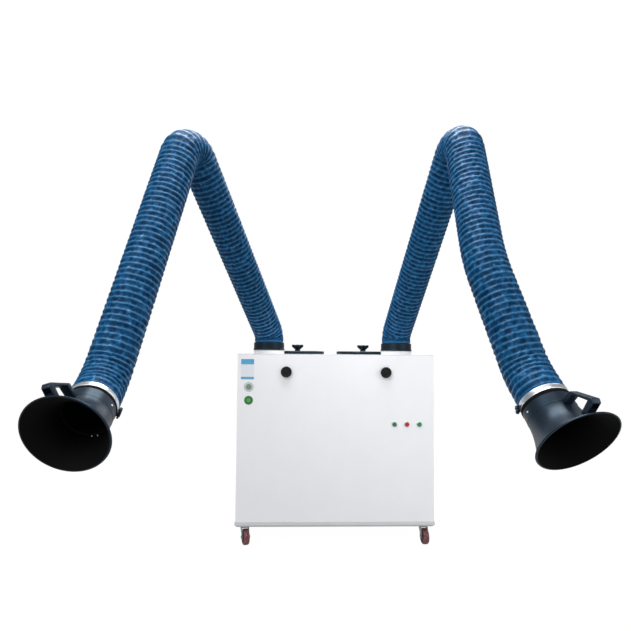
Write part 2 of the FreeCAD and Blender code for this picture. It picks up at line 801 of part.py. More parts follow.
def turntable():
    """Black base ring that carries the hose end in a groove and the shoulder cheeks on a cross bar."""
    skirt_out = spigot_bore - bearing_wall - run_gap
    skirt_in = skirt_out - turntable_skirt
    low = spigot_height + bearing_plate
    floor = low + turntable_floor
    skirt_low = low - turntable_skirt_drop
    neck_out = hose_bore - fit_gap
    neck_in = skirt_in
    cuff_in = hose_cuff_radius + fit_gap
    r = turntable_radius
    rise = turntable_rise
    body = turned([(skirt_in, skirt_low), (skirt_out, skirt_low), (skirt_out, low), (r + turntable_flare, low),
                   (r + turntable_flare, floor), (r, floor + 6), (r, rise - 1), (r - 1, rise), (cuff_in, rise),
                   (cuff_in, floor), (neck_out, floor), (neck_out, rise), (neck_in, rise)])
    bar = box(-knuckle_radius, knuckle_radius, -neck_in - 1, neck_in + 1, floor, floor + clevis_block)
    cheeks = []
    for low_y, high_y in ((-cheek_out, -cheek_in), (cheek_in, cheek_out)):
        cheeks.append(box(-knuckle_radius, knuckle_radius, low_y, high_y, floor, shoulder_rise))
        cheeks.append(rod(knuckle_radius, Vector(0, low_y, shoulder_rise), Vector(0, high_y, shoulder_rise)))
    body = body.fuse([bar] + cheeks).removeSplitter()
    return body.cut(pivot_hole(shoulder_rise))


def pivot_hole(height):
    """Cutter for a pin along Y at a height on the Z axis."""
    return rod(pin_bore, Vector(0, -2 * cheek_out, height), Vector(0, 2 * cheek_out, height))


def lug(height, reach):
    """Round eye between the cheeks, with its neck reaching along Z from a pivot height."""
    eye = rod(knuckle_radius, Vector(0, -lug_half, height), Vector(0, lug_half, height))
    low, high = sorted((height, height + reach))
    return eye.fuse(box(-bracket_bar / 2, bracket_bar / 2, -lug_half, lug_half, low, high))


def hollow_tube(low, high):
    """Round tube along Z, closed at both ends by short plugs."""
    inner = tube_radius - tube_wall
    tube = rod(tube_radius, Vector(0, 0, low), Vector(0, 0, high))
    return tube.cut(rod(inner, Vector(0, 0, low + 20), Vector(0, 0, high - 20)))


def clevis(height):
    """Cheeks that reach up along Z from a block to a pivot height."""
    block_low = height - knuckle_clear - clevis_block
    body = box(-tube_radius, tube_radius, -cheek_out, cheek_out, block_low, height - knuckle_clear)
    for low_y, high_y in ((-cheek_out, -cheek_in), (cheek_in, cheek_out)):
        body = body.fuse(box(-knuckle_radius, knuckle_radius, low_y, high_y, block_low, height))
        body = body.fuse(rod(knuckle_radius, Vector(0, low_y, height), Vector(0, high_y, height)))
    return body


def lower_arm():
    """Inner tube from the shoulder eye to the elbow cheeks."""
    end = lower_length - knuckle_clear - clevis_block
    body = lug(0, knuckle_clear).fuse([hollow_tube(knuckle_clear, end), clevis(lower_length)])
    return body.removeSplitter().cut([pivot_hole(0), pivot_hole(lower_length)])


def forearm():
    """Inner tube from the elbow eye to the wrist stud, and the nut on that stud."""
    end = forearm_length - wrist_drop
    nut_low = end + wrist_hub_thickness
    nut_high = nut_low + wrist_nut_thickness
    body = lug(0, knuckle_clear).fuse(hollow_tube(knuckle_clear, end))
    body = body.fuse(rod(wrist_stud_radius, Vector(0, 0, end), Vector(0, 0, nut_high)))
    body = body.removeSplitter().cut(pivot_hole(0))
    hexagon = [Vector(wrist_nut_radius * math.cos(math.radians(60 * k)),
                      wrist_nut_radius * math.sin(math.radians(60 * k)), nut_low) for k in range(6)]
    nut = extruded(hexagon, UP * wrist_nut_thickness)
    return body, nut.cut(rod(wrist_stud_radius, Vector(0, 0, nut_low), Vector(0, 0, nut_high)))


def wrist_fork():
    """Hub on the forearm's stud with two cheeks round the tilt pin, which lies at height zero."""
    low = -wrist_drop
    high = low + wrist_hub_thickness
    body = rod(wrist_hub_radius, Vector(0, 0, low), Vector(0, 0, high))
    for low_y, high_y in ((-cheek_out, -cheek_in), (cheek_in, cheek_out)):
        body = body.fuse(box(-knuckle_radius, knuckle_radius, low_y, high_y, low, 0))
        body = body.fuse(rod(knuckle_radius, Vector(0, low_y, 0), Vector(0, high_y, 0)))
    nut_room = rod(wrist_nut_radius + run_gap, Vector(0, 0, high), Vector(0, 0, high + wrist_nut_thickness + run_gap))
    bore = rod(wrist_stud_radius + pin_gap, Vector(0, 0, low - 1), Vector(0, 0, high + 1))
    return body.removeSplitter().cut([bore, nut_room, pivot_hole(0)])


def pin(height):
    """Headed pivot pin along Y."""
    tip = cheek_out + pin_head
    body = rod(pin_radius, Vector(0, -tip, height), Vector(0, tip, height))
    for low_y, high_y in ((-tip, -cheek_out), (cheek_out, tip)):
        body = body.fuse(rod(pin_head_radius, Vector(0, low_y, height), Vector(0, high_y, height)))
    return body.removeSplitter()


# Hose


def hose_route(arm):
    """Straight runs and tangent arcs of a hose, as (start, tangent, turn axis, radius, length) pieces."""
    floor = arm["base"] + UP * (spigot_height + bearing_plate + turntable_floor + run_gap)
    corner = arm["elbow"] + (arm["lower"] - arm["fore"]).normalize() * elbow_lift
    points = [floor, arm["shoulder"], corner, arm["wrist"], arm["wrist"] + arm["hood"] * hood_reach]
    bends = [shoulder_bend, elbow_bend, wrist_bend]
    if arm["bow"]:
        outward = arm["pivot"] * -1
        middle = corner + (arm["wrist"] - corner) * bow_place + outward * arm["bow"]
        points.insert(3, middle)
        bends.insert(2, bow_bend)
    ways = [(b - a).normalize() for a, b in zip(points, points[1:])]
    pieces = []
    start = points[0]
    for k, bend in enumerate(bends):
        axis = ways[k].cross(ways[k + 1])
        turn = math.atan2(axis.Length, ways[k].dot(ways[k + 1]))
        axis.normalize()
        cut = bend * math.tan(turn / 2)
        end = points[k + 1] - ways[k] * cut
        pieces.append((start, ways[k], axis, 0.0, (end - start).Length))
        pieces.append((end, ways[k], axis, bend, bend * turn))
        start = points[k + 1] + ways[k + 1] * cut
    pieces.append((start, ways[-1], axis, 0.0, (points[-1] - start).Length))
    return pieces


def along(pieces, distance):
    """Point and tangent at a distance along a hose route."""
    for start, way, axis, bend, length in pieces:
        if distance <= length or (start, way) == pieces[-1][:2]:
            break
        distance -= length
    if bend == 0.0:
        return start + way * distance, way
    centre = start + axis.cross(way) * bend
    turn = FreeCAD.Rotation(axis, math.degrees(distance / bend))
    return centre + turn.multVec(start - centre), turn.multVec(way)


def hose_ring(pieces, distance, radius, steady):
    """Circle across the hose at a distance, its X axis kept as near a steady direction as it can be."""
    point, way = along(pieces, distance)
    x_axis = (steady - way * steady.dot(way)).normalize()
    circle = Part.makeCircle(radius)
    return Part.Wire(set_on(circle, point, x_axis, way))


def hose(arm):
    """Ribbed hose with its bore, plain at both cuffs."""
    pieces = hose_route(arm)
    total = sum(piece[4] for piece in pieces)
    rib_start = hose_base_cuff
    pitch = (total - hose_hood_cuff - hose_base_cuff) / hose_ribs
    stations = [(0.0, hose_cuff_radius), (rib_start - pitch / 4, hose_cuff_radius)]
    for k in range(hose_ribs):
        low = rib_start + k * pitch
        stations += [(low, hose_valley_radius), (low + pitch * 0.3, hose_crest_radius),
                     (low + pitch * 0.55, hose_crest_radius), (low + pitch * 0.85, hose_valley_radius)]
    stations += [(total - hose_hood_cuff, hose_cuff_radius), (total, hose_cuff_radius)]
    rings = [hose_ring(pieces, s, r, arm["pivot"]) for s, r in stations]
    skin = Part.makeLoft(rings, True, True)
    bore_stations = [-1.0]
    reached = 0.0
    for start, way, axis, bend, length in pieces:
        steps = max(1, round(length / bend / math.radians(6))) if bend else 1
        bore_stations += [reached + length * k / steps for k in range(steps)]
        reached += length
    bore_stations += [total, total + 1.0]
    bore = Part.makeLoft([hose_ring(pieces, s, hose_bore, arm["pivot"]) for s in bore_stations], True, True)
    print("hose length", round(total), "rib pitch", round(pitch, 1))
    return skin.cut(bore)


# Hood, modelled along Z from the tilt pin, with its handle towards +X


def hood_stations(inset):
    """Circles of the trumpet from the neck's ridge to the mouth, drawn in by an inset."""
    start = hood_reach + hood_neck_length
    rings = []
    for k in range(hood_sections + 1):
        share = k / hood_sections
        grown = share ** hood_flare_power
        radius = hood_neck_radius + (hood_mouth_radius - hood_neck_radius) * grown - inset
        centre = Vector(hood_mouth_offset * grown, 0, start + hood_flare_length * share)
        slant = math.radians(hood_mouth_slant * grown)
        rings.append(Part.Wire(Part.makeCircle(radius, centre, Vector(math.sin(slant), 0, math.cos(slant)))))
    return rings


def hood_mouth():
    """Middle of the hood's mouth and the way it faces."""
    slant = math.radians(hood_mouth_slant)
    middle = Vector(hood_mouth_offset, 0, hood_reach + hood_neck_length + hood_flare_length)
    return middle, Vector(math.sin(slant), 0, math.cos(slant))


def hood_outside():
    """Outer form of the hood as one full body."""
    start = hood_reach + hood_neck_length
    r = hood_neck_radius
    neck = turned([(0, hood_reach + run_gap), (r, hood_reach + run_gap), (r, start - hood_ridge_width),
                   (r + hood_ridge, start - hood_ridge_width), (r + hood_ridge, start), (0, start)])
    trumpet = Part.makeLoft(hood_stations(0), True, False)
    mouth, way = hood_mouth()
    lip = rod(hood_mouth_radius + hood_rim, mouth - way * hood_rim_height, mouth)
    return neck.fuse([trumpet, lip])


def hood():
    """Trumpet with a rolled rim, a ridged neck and a sleeve that the hose is pulled over."""
    sleeve = hose_bore - fit_gap
    low = hood_reach - hood_sleeve
    neck_top = hood_reach + hood_neck_length
    body = hood_outside().fuse(rod(sleeve, Vector(0, 0, low), Vector(0, 0, hood_reach + 1)))
    bore = sleeve - hood_wall
    passage = rod(bore, Vector(0, 0, low - 1), Vector(0, 0, neck_top))
    inside = Part.makeLoft(hood_stations(hood_wall), True, False)
    mouth, way = hood_mouth()
    clear = rod(hood_mouth_radius - hood_wall, mouth - way * (hood_wall / 10), mouth + way)
    return body.cut([passage, inside, clear])


def hood_bracket():
    """Bar from the tilt pin to a cross bar inside the hood's sleeve."""
    low = hood_reach - hood_sleeve + 4
    high = low + bracket_cross_height
    reach = hose_bore - fit_gap - hood_wall
    cross = box(-bracket_bar / 2, bracket_bar / 2, -reach, reach, low, high)
    cross = cross.common(rod(reach, Vector(0, 0, low), Vector(0, 0, high)))
    body = lug(0, low + 1).fuse(cross)
    return body.removeSplitter().cut(pivot_hole(0))


def hose_clamp():
    """Bright band round the hose cuff with two bolt lugs and a bolt."""
    inner = hose_cuff_radius + run_gap
    outer = inner + clamp_thickness
    middle = hood_reach - clamp_inset
    low = middle - clamp_width / 2
    high = middle + clamp_width / 2
    band = turned([(inner, low), (outer, low), (outer, high), (inner, high)])
    split = box(-outer - clamp_lug, 0, -2, 2, low - 1, high + 1)
    band = band.cut(split)
    lug_low = inner + clamp_thickness / 2
    lugs = []
    for low_y, high_y in ((-8, -4), (4, 8)):
        lugs.append(box(-lug_low - clamp_lug, -inner - 0.5, low_y, high_y, low, high))
    band = band.fuse(lugs).removeSplitter()
    bolt_x = -lug_low - clamp_lug / 2
    half = clamp_bolt_length / 2
    bolt = rod(clamp_bolt_radius, Vector(bolt_x, -half, middle), Vector(bolt_x, half, middle))
    head = rod(clamp_bolt_radius * 1.8, Vector(bolt_x, -half, middle), Vector(bolt_x, -half + 6, middle))
    bolt = bolt.fuse(head)
    return band.cut(rod(clamp_bolt_radius, Vector(bolt_x, -half, middle), Vector(bolt_x, half, middle))), bolt


def hood_handle(side):
    """Moulded strap handle: two posts and a sloping bar, seated on the neck and the flare."""
    low = hood_reach + handle_from
    high = low + handle_length
    foot = hood_neck_radius / 2
    near = hood_neck_radius + handle_rise
    far = near + handle_slope
    run = handle_length - handle_post / 2
    slope = handle_slope / run
    outline = [Vector(foot, 0, low), Vector(near, 0, low), Vector(far, 0, low + run),
               Vector(far - handle_post / 4, 0, high), Vector(foot, 0, high)]
    gap_low = low + handle_post
    gap_high = high - handle_post
    under = near - handle_bar
    gap = [Vector(0, 0, gap_low), Vector(under + slope * handle_post, 0, gap_low),
           Vector(under + slope * (gap_high - low), 0, gap_high), Vector(0, 0, gap_high)]
    width = Vector(0, handle_width, 0)
    shift = -handle_width / 2
    body = moved(extruded(outline, width), 0, shift, 0).cut(moved(extruded(gap, width), 0, shift, 0))
    wall = handle_recess_wall
    recess = box(far - handle_post / 2 - handle_recess, far - handle_post / 2 - wall + 2, shift + wall, -shift - wall,
                 high - handle_recess, high + 1)
    body = body.cut(recess)
    body.rotate(Vector(0, 0, 0), UP, side * handle_turn)
    return body.cut(hood_outside())


def build_cabinet():
    """Write every node that belongs to the cabinet and its front."""
    save("base_tray", base_tray())
    save("corner_frame", corner_frame())
    save("side_panel_left", side_panel(-1))
    save("side_panel_right", side_panel(1))
    save("back_panel", back_panel())
    save("top_panel", top_panel())
    save("front_panel", front_panel())
    save("control_box", control_box())
    places = control_places()
    bezels = [set_at(bezel(), place) for place in places]
    save("control_bezels", *bezels)
    save("pilot_lens", set_at(pilot_lens(), places[0]))
    save("stop_button", set_at(button(), places[1]))
    save("start_button", set_at(button(), places[2]))
    for side, name in ((-1, "left"), (1, "right")):
        save("panel_knob_" + name, moved(panel_knob(), side * panel_knob_x, front_y, panel_knob_z))
        save("filter_lid_" + name, moved(filter_lid(), side * lid_x, lid_y, lid_z))
        save("lid_knob_" + name, moved(lid_knob(), side * lid_x, lid_y, lid_top_z))
    gasket = turned([(lid_radius - gasket_width, 0), (lid_radius - 1, 0), (lid_radius - 1, gasket_height),
                     (lid_radius - gasket_width, gasket_height)])
    sides = (-1, 1)
    save("lid_gaskets", *[moved(gasket, s * lid_x, lid_y, top_z) for s in sides])
    save("filter_cartridges", *[moved(filter_cartridge(), s * lid_x, lid_y, 0) for s in sides])
    save("filter_rods", *[moved(filter_rod(), s * lid_x, lid_y, 0) for s in sides])
    save("arm_spigots", *[moved(arm_spigot(), s * arm_x, arm_y, top_z) for s in sides])
    save("swivel_bearings", *[moved(swivel_bearing(), s * arm_x, arm_y, top_z) for s in sides])
    save("partition_plate", partition_plate())
    save("dust_tray", dust_tray())
    save("fan_housing", fan_housing())
    save("fan_motor", fan_motor())
    save("impeller", impeller())
    save("cable_gland", cable_gland())


def set_at(shape, place):
    """Copy of a shape shifted to a point."""
    return moved(shape, place.x, place.y, place.z)


def build_castors():
    """Write the four castors: one node of top plates, and a fork and a wheel each."""
    places = castor_places()
    save("castor_plates", *[set_at(castor_plate(), place) for place in places.values()])
    for name, place in places.items():
        way = castor_way(name)
        fork, axle = castor_fork()
        save("castor_fork_" + name, set_on(fork, place, way, UP), set_on(axle, place, way, UP))
        save("castor_wheel_" + name, set_on(castor_wheel(), place, way, UP))


def build_arm(name):
    """Write every node of one arm where it stands."""
    arm = arm_frame(name)
    pivot_x = arm["pivot"].cross(UP)
    save("turntable_" + name, set_on(turntable(), arm["base"], pivot_x, UP))
    lower_x = arm["pivot"].cross(arm["lower"])
    pins = [pin(0), pin(lower_length)]
    save("lower_arm_" + name, set_on(lower_arm(), arm["shoulder"], lower_x, arm["lower"]))
    save("arm_pins_" + name, *[set_on(p, arm["shoulder"], lower_x, arm["lower"]) for p in pins])
    fore_x = arm["pivot"].cross(arm["fore"])
    save("forearm_" + name, *[set_on(s, arm["elbow"], fore_x, arm["fore"]) for s in forearm()])
    fork_x = arm["tilt"].cross(arm["fore"])
    save("wrist_fork_" + name, set_on(wrist_fork(), arm["wrist"], fork_x, arm["fore"]))
    save("tilt_pin_" + name, set_on(pin(0), arm["wrist"], fork_x, arm["fore"]))
    save("hose_" + name, hose(arm))
    bracket_x = arm["tilt"].cross(arm["hood"])
    save("hood_bracket_" + name, set_on(hood_bracket(), arm["wrist"], bracket_x, arm["hood"]))
    save("hood_" + name, set_on(hood(), arm["wrist"], arm["handle"], arm["hood"]))
    save("hood_handle_" + name, set_on(hood_handle(arm["side"]), arm["wrist"], arm["handle"], arm["hood"]))
    turn = math.radians(clamp_turn)
    ears = arm["outward"] * math.cos(turn) + arm["above"] * math.sin(turn)
    save("hose_clamp_" + name, *[set_on(s, arm["wrist"], ears, arm["hood"]) for s in hose_clamp()])


os.makedirs("parts", exist_ok=True)
build_cabinet()
build_castors()
for arm_name in arm_stand:
    build_arm(arm_name)
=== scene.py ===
import json
import math

import bmesh
import bpy
from mathutils import Matrix, Vector
from mathutils import noise


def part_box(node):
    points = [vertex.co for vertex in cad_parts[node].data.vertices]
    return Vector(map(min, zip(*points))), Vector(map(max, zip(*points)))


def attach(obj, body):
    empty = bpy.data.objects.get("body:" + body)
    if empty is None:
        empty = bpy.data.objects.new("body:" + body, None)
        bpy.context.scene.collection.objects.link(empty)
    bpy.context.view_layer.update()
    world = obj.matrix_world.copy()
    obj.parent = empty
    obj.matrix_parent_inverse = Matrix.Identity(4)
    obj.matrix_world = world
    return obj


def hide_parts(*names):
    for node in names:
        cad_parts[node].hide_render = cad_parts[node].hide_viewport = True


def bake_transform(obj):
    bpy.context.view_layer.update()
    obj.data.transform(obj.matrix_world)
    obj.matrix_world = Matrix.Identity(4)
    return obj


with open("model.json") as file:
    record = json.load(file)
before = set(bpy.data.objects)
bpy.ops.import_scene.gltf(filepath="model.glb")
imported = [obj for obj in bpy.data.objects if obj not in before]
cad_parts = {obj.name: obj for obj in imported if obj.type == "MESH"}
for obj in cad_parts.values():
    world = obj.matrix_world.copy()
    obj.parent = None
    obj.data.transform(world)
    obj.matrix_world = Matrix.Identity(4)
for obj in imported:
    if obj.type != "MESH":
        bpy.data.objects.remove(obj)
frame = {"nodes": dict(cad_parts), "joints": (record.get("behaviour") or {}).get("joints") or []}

bl_info = {
    "name": "Twin-arm fume extractor",
    "version": (1, 0, 0),
    "blender": (4, 0, 0),
    "location": "View3D > Sidebar > Extractor",
    "description": "Builds the looks of a mobile fume extractor around its CAD frame",
    "category": "Object",
}

UP = Vector((0, 0, 1))
# Blue tint given to the reflections of black plastic and coat: a painted blue reflection
PAINTED_BLUE_REFLECTION = (0.5, 0.76, 1.0, 1.0)
SIDES = {"left": -1, "right": 1}
CASTORS = ("front_left", "front_right", "rear_left", "rear_right")
JOINTS = {joint["name"]: joint for joint in frame["joints"]}

# Bright band of the hose clamps, in metres
CLAMP_INNER = 0.0843
CLAMP_OUTER = 0.0861
CLAMP_HALF = 0.010
CLAMP_BACK = 0.016

# Camera of the photograph: pixels, then yaw, pitch and roll in degrees, then metres
PICTURE_SIZE = 631
FOCAL_PIXELS = 520
SHIFT_PIXELS = (4, 8)
CAMERA_TURNS = (2.0, 3.25, 0.46)
CAMERA_PLACE = (-0.242, -3.242, 1.064)
SENSOR_WIDTH = 36.0


def linear(code):
    """Linear colour of an sRGB hex code."""
    channels = []
    for k in (0, 2, 4):
        c = int(code[k:k + 2], 16) / 255
        channels.append(c / 12.92 if c <= 0.04045 else ((c + 0.055) / 1.055) ** 2.4)
    return (*channels, 1.0)


def colour(name, description, code):
    """Setting for a colour."""
    return bpy.props.FloatVectorProperty(name=name, description=description, default=linear(code), size=4,
                                         min=0.0, max=1.0, subtype="COLOR")


def length(name, description, default):
    """Setting for a length in metres."""
    return bpy.props.FloatProperty(name=name, description=description, default=default, unit="LENGTH")


class FinishSettings(bpy.types.PropertyGroup):
    """Main colours of the finishes."""
    sheet: colour("Cabinet", "Powder coat of the cabinet", "f3f4f7")
    hose: colour("Hoses", "Cloth of the hoses, high up on their ribs", "0f5582")
    hood: colour("Hoods", "Moulded plastic of hoods and lid knobs", "16212d")
    lid: colour("Lids", "Powder coat of lids and arm bases", "131a22")
    tread: colour("Treads", "Treads of the castor wheels", "753d44")
    stop_cap: colour("Stop button", "Cap of the stop button", "c3242c")
    start_cap: colour("Start button", "Cap of the start button", "2a8c4c")
    band: colour("Sticker bands", "Bands of the plain sticker", "5aa9d2")


class CabinetSettings(bpy.types.PropertyGroup):
    """Sizes of the cabinet's visible sheet and fittings."""
    sheet: length("Sheet", "Thickness of the panels", 0.002)
    fold_radius: length("Fold radius", "Rounding of the folded sheet edges", 0.0022)
    label_width: length("Label width", "Width of the plain banded sticker", 0.072)
    label_height: length("Label height", "Height of the plain banded sticker", 0.112)
    label_x: length("Sticker place", "Sideways place of the stickers", -0.4945)
    label_drop: length("Sticker drop", "From the cabinet top to the banded sticker's middle", 0.083)
    dot_drop: length("Round sticker drop", "From the cabinet top to the pale round sticker", 0.181)
    dot_step: length("Round sticker step", "From the pale to the green round sticker", 0.074)


class HoseSettings(bpy.types.PropertyGroup):
    """Form of the ribbed hoses."""
    crest: length("Crest radius", "Radius over the wire ribs", 0.0873)
    sag: length("Sag", "How far the cloth draws in between two wires", 0.0042)
    cuff: length("Cuff radius", "Radius of the plain ends", 0.0840)
    ribs: bpy.props.IntProperty(name="Ribs", description="Wires along one hose", default=102)
    rings_per_rib: bpy.props.IntProperty(
        name="Rings per rib", description="Mesh rings along one rib", default=8)
    segments: bpy.props.IntProperty(name="Segments", description="Mesh steps round the hose", default=112)
    base_cuff: length("Base cuff", "Plain length at the turntable", 0.046)
    collar: bpy.props.FloatProperty(
        name="Collar", description="Smooth length above the turntable, in ribs", default=1.25)
    hood_cuff: length("Hood cuff", "Plain length under the clamp", 0.032)
    shoulder_bend: length("Shoulder bend", "Centre line radius at the shoulder", 0.095)
    elbow_bend: length("Elbow bend", "Centre line radius at the elbow", 0.092)
    wrist_bend: length("Wrist bend", "Centre line radius at the wrist", 0.245)
    elbow_lift: length("Elbow lift", "From the elbow pin to the corner of the centre line", 0.076)
    bow_bend: length("Bow bend", "Centre line radius of the slack bow", 0.9)
    floor: length("Hose floor", "From the cabinet top to the hose end in the turntable", 0.0293)


class HoodSettings(bpy.types.PropertyGroup):
    """Form of the hoods, along the neck axis from the tilt pin."""
    reach: length("Reach", "From the tilt pin to the hose end", 0.152)
    sleeve: length("Sleeve", "Length of the sleeve inside the hose", 0.060)
    neck_radius: length("Neck radius", "Outer radius of the neck", 0.086)
    neck_length: length("Neck length", "From the hose end to the flare", 0.048)
    flare_length: length("Flare length", "From the neck to the mouth", 0.122)
    mouth_radius: length("Mouth radius", "Outer radius of the mouth", 0.139)
    mouth_offset: length("Mouth offset", "Shift of the mouth towards the handle", 0.028)
    slant: bpy.props.FloatProperty(
        name="Slant", description="Tilt of the mouth towards the handle", default=math.radians(5),
        subtype="ANGLE")
    wall: length("Wall", "Thickness of the moulded wall", 0.003)


def form(group):
    """Settings of the finishes, the cabinet, the hoses or the hoods."""
    return getattr(bpy.context.scene, "extractor_" + group)


# Materials

# Hose cloth, in millimetres round and along it: its threads are drawn about twice as coarse as real ones
# to show, and its creases run between the ribs
RIB_PITCH = 24.78
THREAD = (1.276, 1.77)
CREASE = (21.1, 13.04)


def per_metre(size):
    """Scale of a pattern from the size of its spots or streaks in millimetres."""
    return 1000.0 / size


def add(tree, kind, stops=(), **values):
    """New node with settings by name, inputs after in_ (a node or output is linked) and a ramp's stops."""
    node = tree.nodes.new(kind)
    for key, value in values.items():
        if not key.startswith("in_"):
            setattr(node, key, value)
            continue
        name = key[3:]
        socket = node.inputs[int(name)] if name.isdigit() else node.inputs[name.replace("_", " ")]
        if isinstance(value, bpy.types.Node):
            tree.links.new(value.outputs[0], socket)
        elif isinstance(value, bpy.types.NodeSocket):
            tree.links.new(value, socket)
        else:
            socket.default_value = value
    if stops:
        elements = node.color_ramp.elements
        while len(elements) < len(stops):
            elements.new(0.5)
        for element, (place, shade) in zip(elements, stops):
            element.position = place
            element.color = linear(shade) if isinstance(shade, str) else shade
    return node


def start(name):
    """Material with an empty node tree, and that tree."""
    material = bpy.data.materials.get(name) or bpy.data.materials.new(name)
    material.use_nodes = True
    material.node_tree.nodes.clear()
    return material, material.node_tree


def coated(name, light, dark, rough, bump=0.05, metal=0.0, peel=1.43, coat=0.0, shine=0.5,
           tint=(1, 1, 1, 1)):
    """Paint, polish or plastic: faint clouds 111 mm wide, an uneven sheen and a fine peel in millimetres."""
    material, tree = start(name)
    place = add(tree, "ShaderNodeTexCoord").outputs["Object"]
    broad = add(tree, "ShaderNodeTexNoise", in_Vector=place, in_Scale=per_metre(111), in_Detail=3.0,
                in_Roughness=0.55)
    fine = add(tree, "ShaderNodeTexNoise", in_Vector=place, in_Scale=per_metre(peel), in_Detail=2.0,
               in_Roughness=0.55)
    shades = add(tree, "ShaderNodeValToRGB", ((0.3, dark), (0.7, light)), in_Fac=broad)
    sheen = add(tree, "ShaderNodeMapRange", in_Value=fine, in_To_Min=rough - 0.06, in_To_Max=rough + 0.06)
    skin = add(tree, "ShaderNodeBump", in_Strength=bump, in_Distance=0.0004, in_Height=fine)
    shader = add(tree, "ShaderNodeBsdfPrincipled", in_Base_Color=shades, in_Roughness=sheen, in_Normal=skin,
                 in_Metallic=metal, in_Coat_Weight=coat, in_Specular_IOR_Level=shine, in_Specular_Tint=tint)
    add(tree, "ShaderNodeOutputMaterial", in_Surface=shader)
    return material


def brushed(name, light, dark, rough, streak=(25, 25, 0.56)):
    """Bare metal: drawn streaks or spangles, sized in millimetres along X, Y and Z, with 17 mm clouds."""
    material, tree = start(name)
    place = add(tree, "ShaderNodeTexCoord").outputs["Object"]
    drawn = add(tree, "ShaderNodeMapping", in_Vector=place, in_Scale=[per_metre(size) for size in streak])
    lines = add(tree, "ShaderNodeTexNoise", in_Vector=drawn, in_Scale=1.0, in_Detail=2.0)
    cloud = add(tree, "ShaderNodeTexNoise", in_Vector=place, in_Scale=per_metre(16.7), in_Detail=3.0,
                in_Roughness=0.55)
    both = add(tree, "ShaderNodeMath", operation="ADD", in_0=lines, in_1=cloud)
    mean = add(tree, "ShaderNodeMath", operation="MULTIPLY", in_0=both, in_1=0.5)
    shades = add(tree, "ShaderNodeValToRGB", ((0.35, dark), (0.65, light)), in_Fac=mean)
    sheen = add(tree, "ShaderNodeMapRange", in_Value=lines, in_To_Min=rough - 0.08, in_To_Max=rough + 0.1)
    skin = add(tree, "ShaderNodeBump", in_Strength=0.05, in_Distance=0.0002, in_Height=lines)
    shader = add(tree, "ShaderNodeBsdfPrincipled", in_Base_Color=shades, in_Roughness=sheen, in_Normal=skin,
                 in_Metallic=1.0)
    add(tree, "ShaderNodeOutputMaterial", in_Surface=shader)
    return material


def hose_cloth():
    """Coated blue cloth over wire ribs: a painted highlight on the wires and painted shade in the folds,
    glossier on the wires, finely woven.
    """
    material, tree = start("Blue coated hose cloth")
    around = math.tau * form("hose").crest * 1000
    # Rib height from the mesh; it also paints shade into the folds and a highlight onto the wires
    height = add(tree, "ShaderNodeAttribute", attribute_name="rib_height_and_painted_shade").outputs["Fac"]
    place = add(tree, "ShaderNodeTexCoord").outputs["Object"]
    scuff = add(tree, "ShaderNodeTexNoise", in_Vector=place, in_Scale=per_metre(14.29), in_Detail=4.0,
                in_Roughness=0.55)
    worn = add(tree, "ShaderNodeMath", operation="MULTIPLY_ADD", in_0=scuff, in_1=0.5, in_2=-0.25)
    total = add(tree, "ShaderNodeMath", operation="ADD", use_clamp=True, in_0=height, in_1=worn)
    # Dark navy stops are painted shade in the folds and pale blue stops a painted highlight on the wires,
    # with a little random wear mixed in
    stops = ((0.0, "032640"), (0.35, "083d63"), (0.72, form("finish").hose), (0.9, "1b6998"),
             (1.0, "64aad6"))
    shades = add(tree, "ShaderNodeValToRGB", stops, in_Fac=total)
    gloss = add(tree, "ShaderNodeMapRange", in_Value=height, in_From_Min=0.55, in_To_Min=0.08,
                in_To_Max=0.75)
    sheen = add(tree, "ShaderNodeMapRange", in_Value=total, in_From_Min=0.4, in_To_Min=0.5, in_To_Max=0.24)
    surface = add(tree, "ShaderNodeUVMap")
    threads = add(tree, "ShaderNodeMapping", in_Vector=surface,
                  in_Scale=(around / THREAD[0], RIB_PITCH / THREAD[1], 1.0))
    weave = add(tree, "ShaderNodeTexNoise", in_Vector=threads, in_Scale=1.0, in_Detail=2.0)
    folds = add(tree, "ShaderNodeMapping", in_Vector=surface,
                in_Scale=(around / CREASE[0], RIB_PITCH / CREASE[1], 1.0))
    crease = add(tree, "ShaderNodeTexNoise", in_Vector=folds, in_Scale=1.0, in_Detail=4.0)
    relief = add(tree, "ShaderNodeMath", operation="MULTIPLY_ADD", in_0=weave, in_1=0.12, in_2=crease)
    skin = add(tree, "ShaderNodeBump", in_Strength=0.7, in_Distance=0.006, in_Height=relief)
    shader = add(tree, "ShaderNodeBsdfPrincipled", in_Base_Color=shades, in_Roughness=sheen, in_Normal=skin,
                 in_Specular_IOR_Level=gloss)
    add(tree, "ShaderNodeOutputMaterial", in_Surface=shader)
    return material


def lens_glass():
    """Moulded green lamp lens: a deep clear colour, a hard gloss and fine facets."""
    material, tree = start("Green lamp lens")
    place = add(tree, "ShaderNodeTexCoord").outputs["Object"]
    facet = add(tree, "ShaderNodeTexNoise", in_Vector=place, in_Scale=per_metre(1.67), in_Detail=1.0,
                in_Roughness=0.55)
    shades = add(tree, "ShaderNodeValToRGB", ((0.2, "0b5f2c"), (0.8, "2f9f58")), in_Fac=facet)
    skin = add(tree, "ShaderNodeBump", in_Strength=0.1, in_Distance=0.0004, in_Height=facet)
    shader = add(tree, "ShaderNodeBsdfPrincipled", in_Base_Color=shades, in_Roughness=0.12, in_Normal=skin,
                 in_Transmission_Weight=0.35, in_Coat_Weight=0.6)
    add(tree, "ShaderNodeOutputMaterial", in_Surface=shader)
    return material


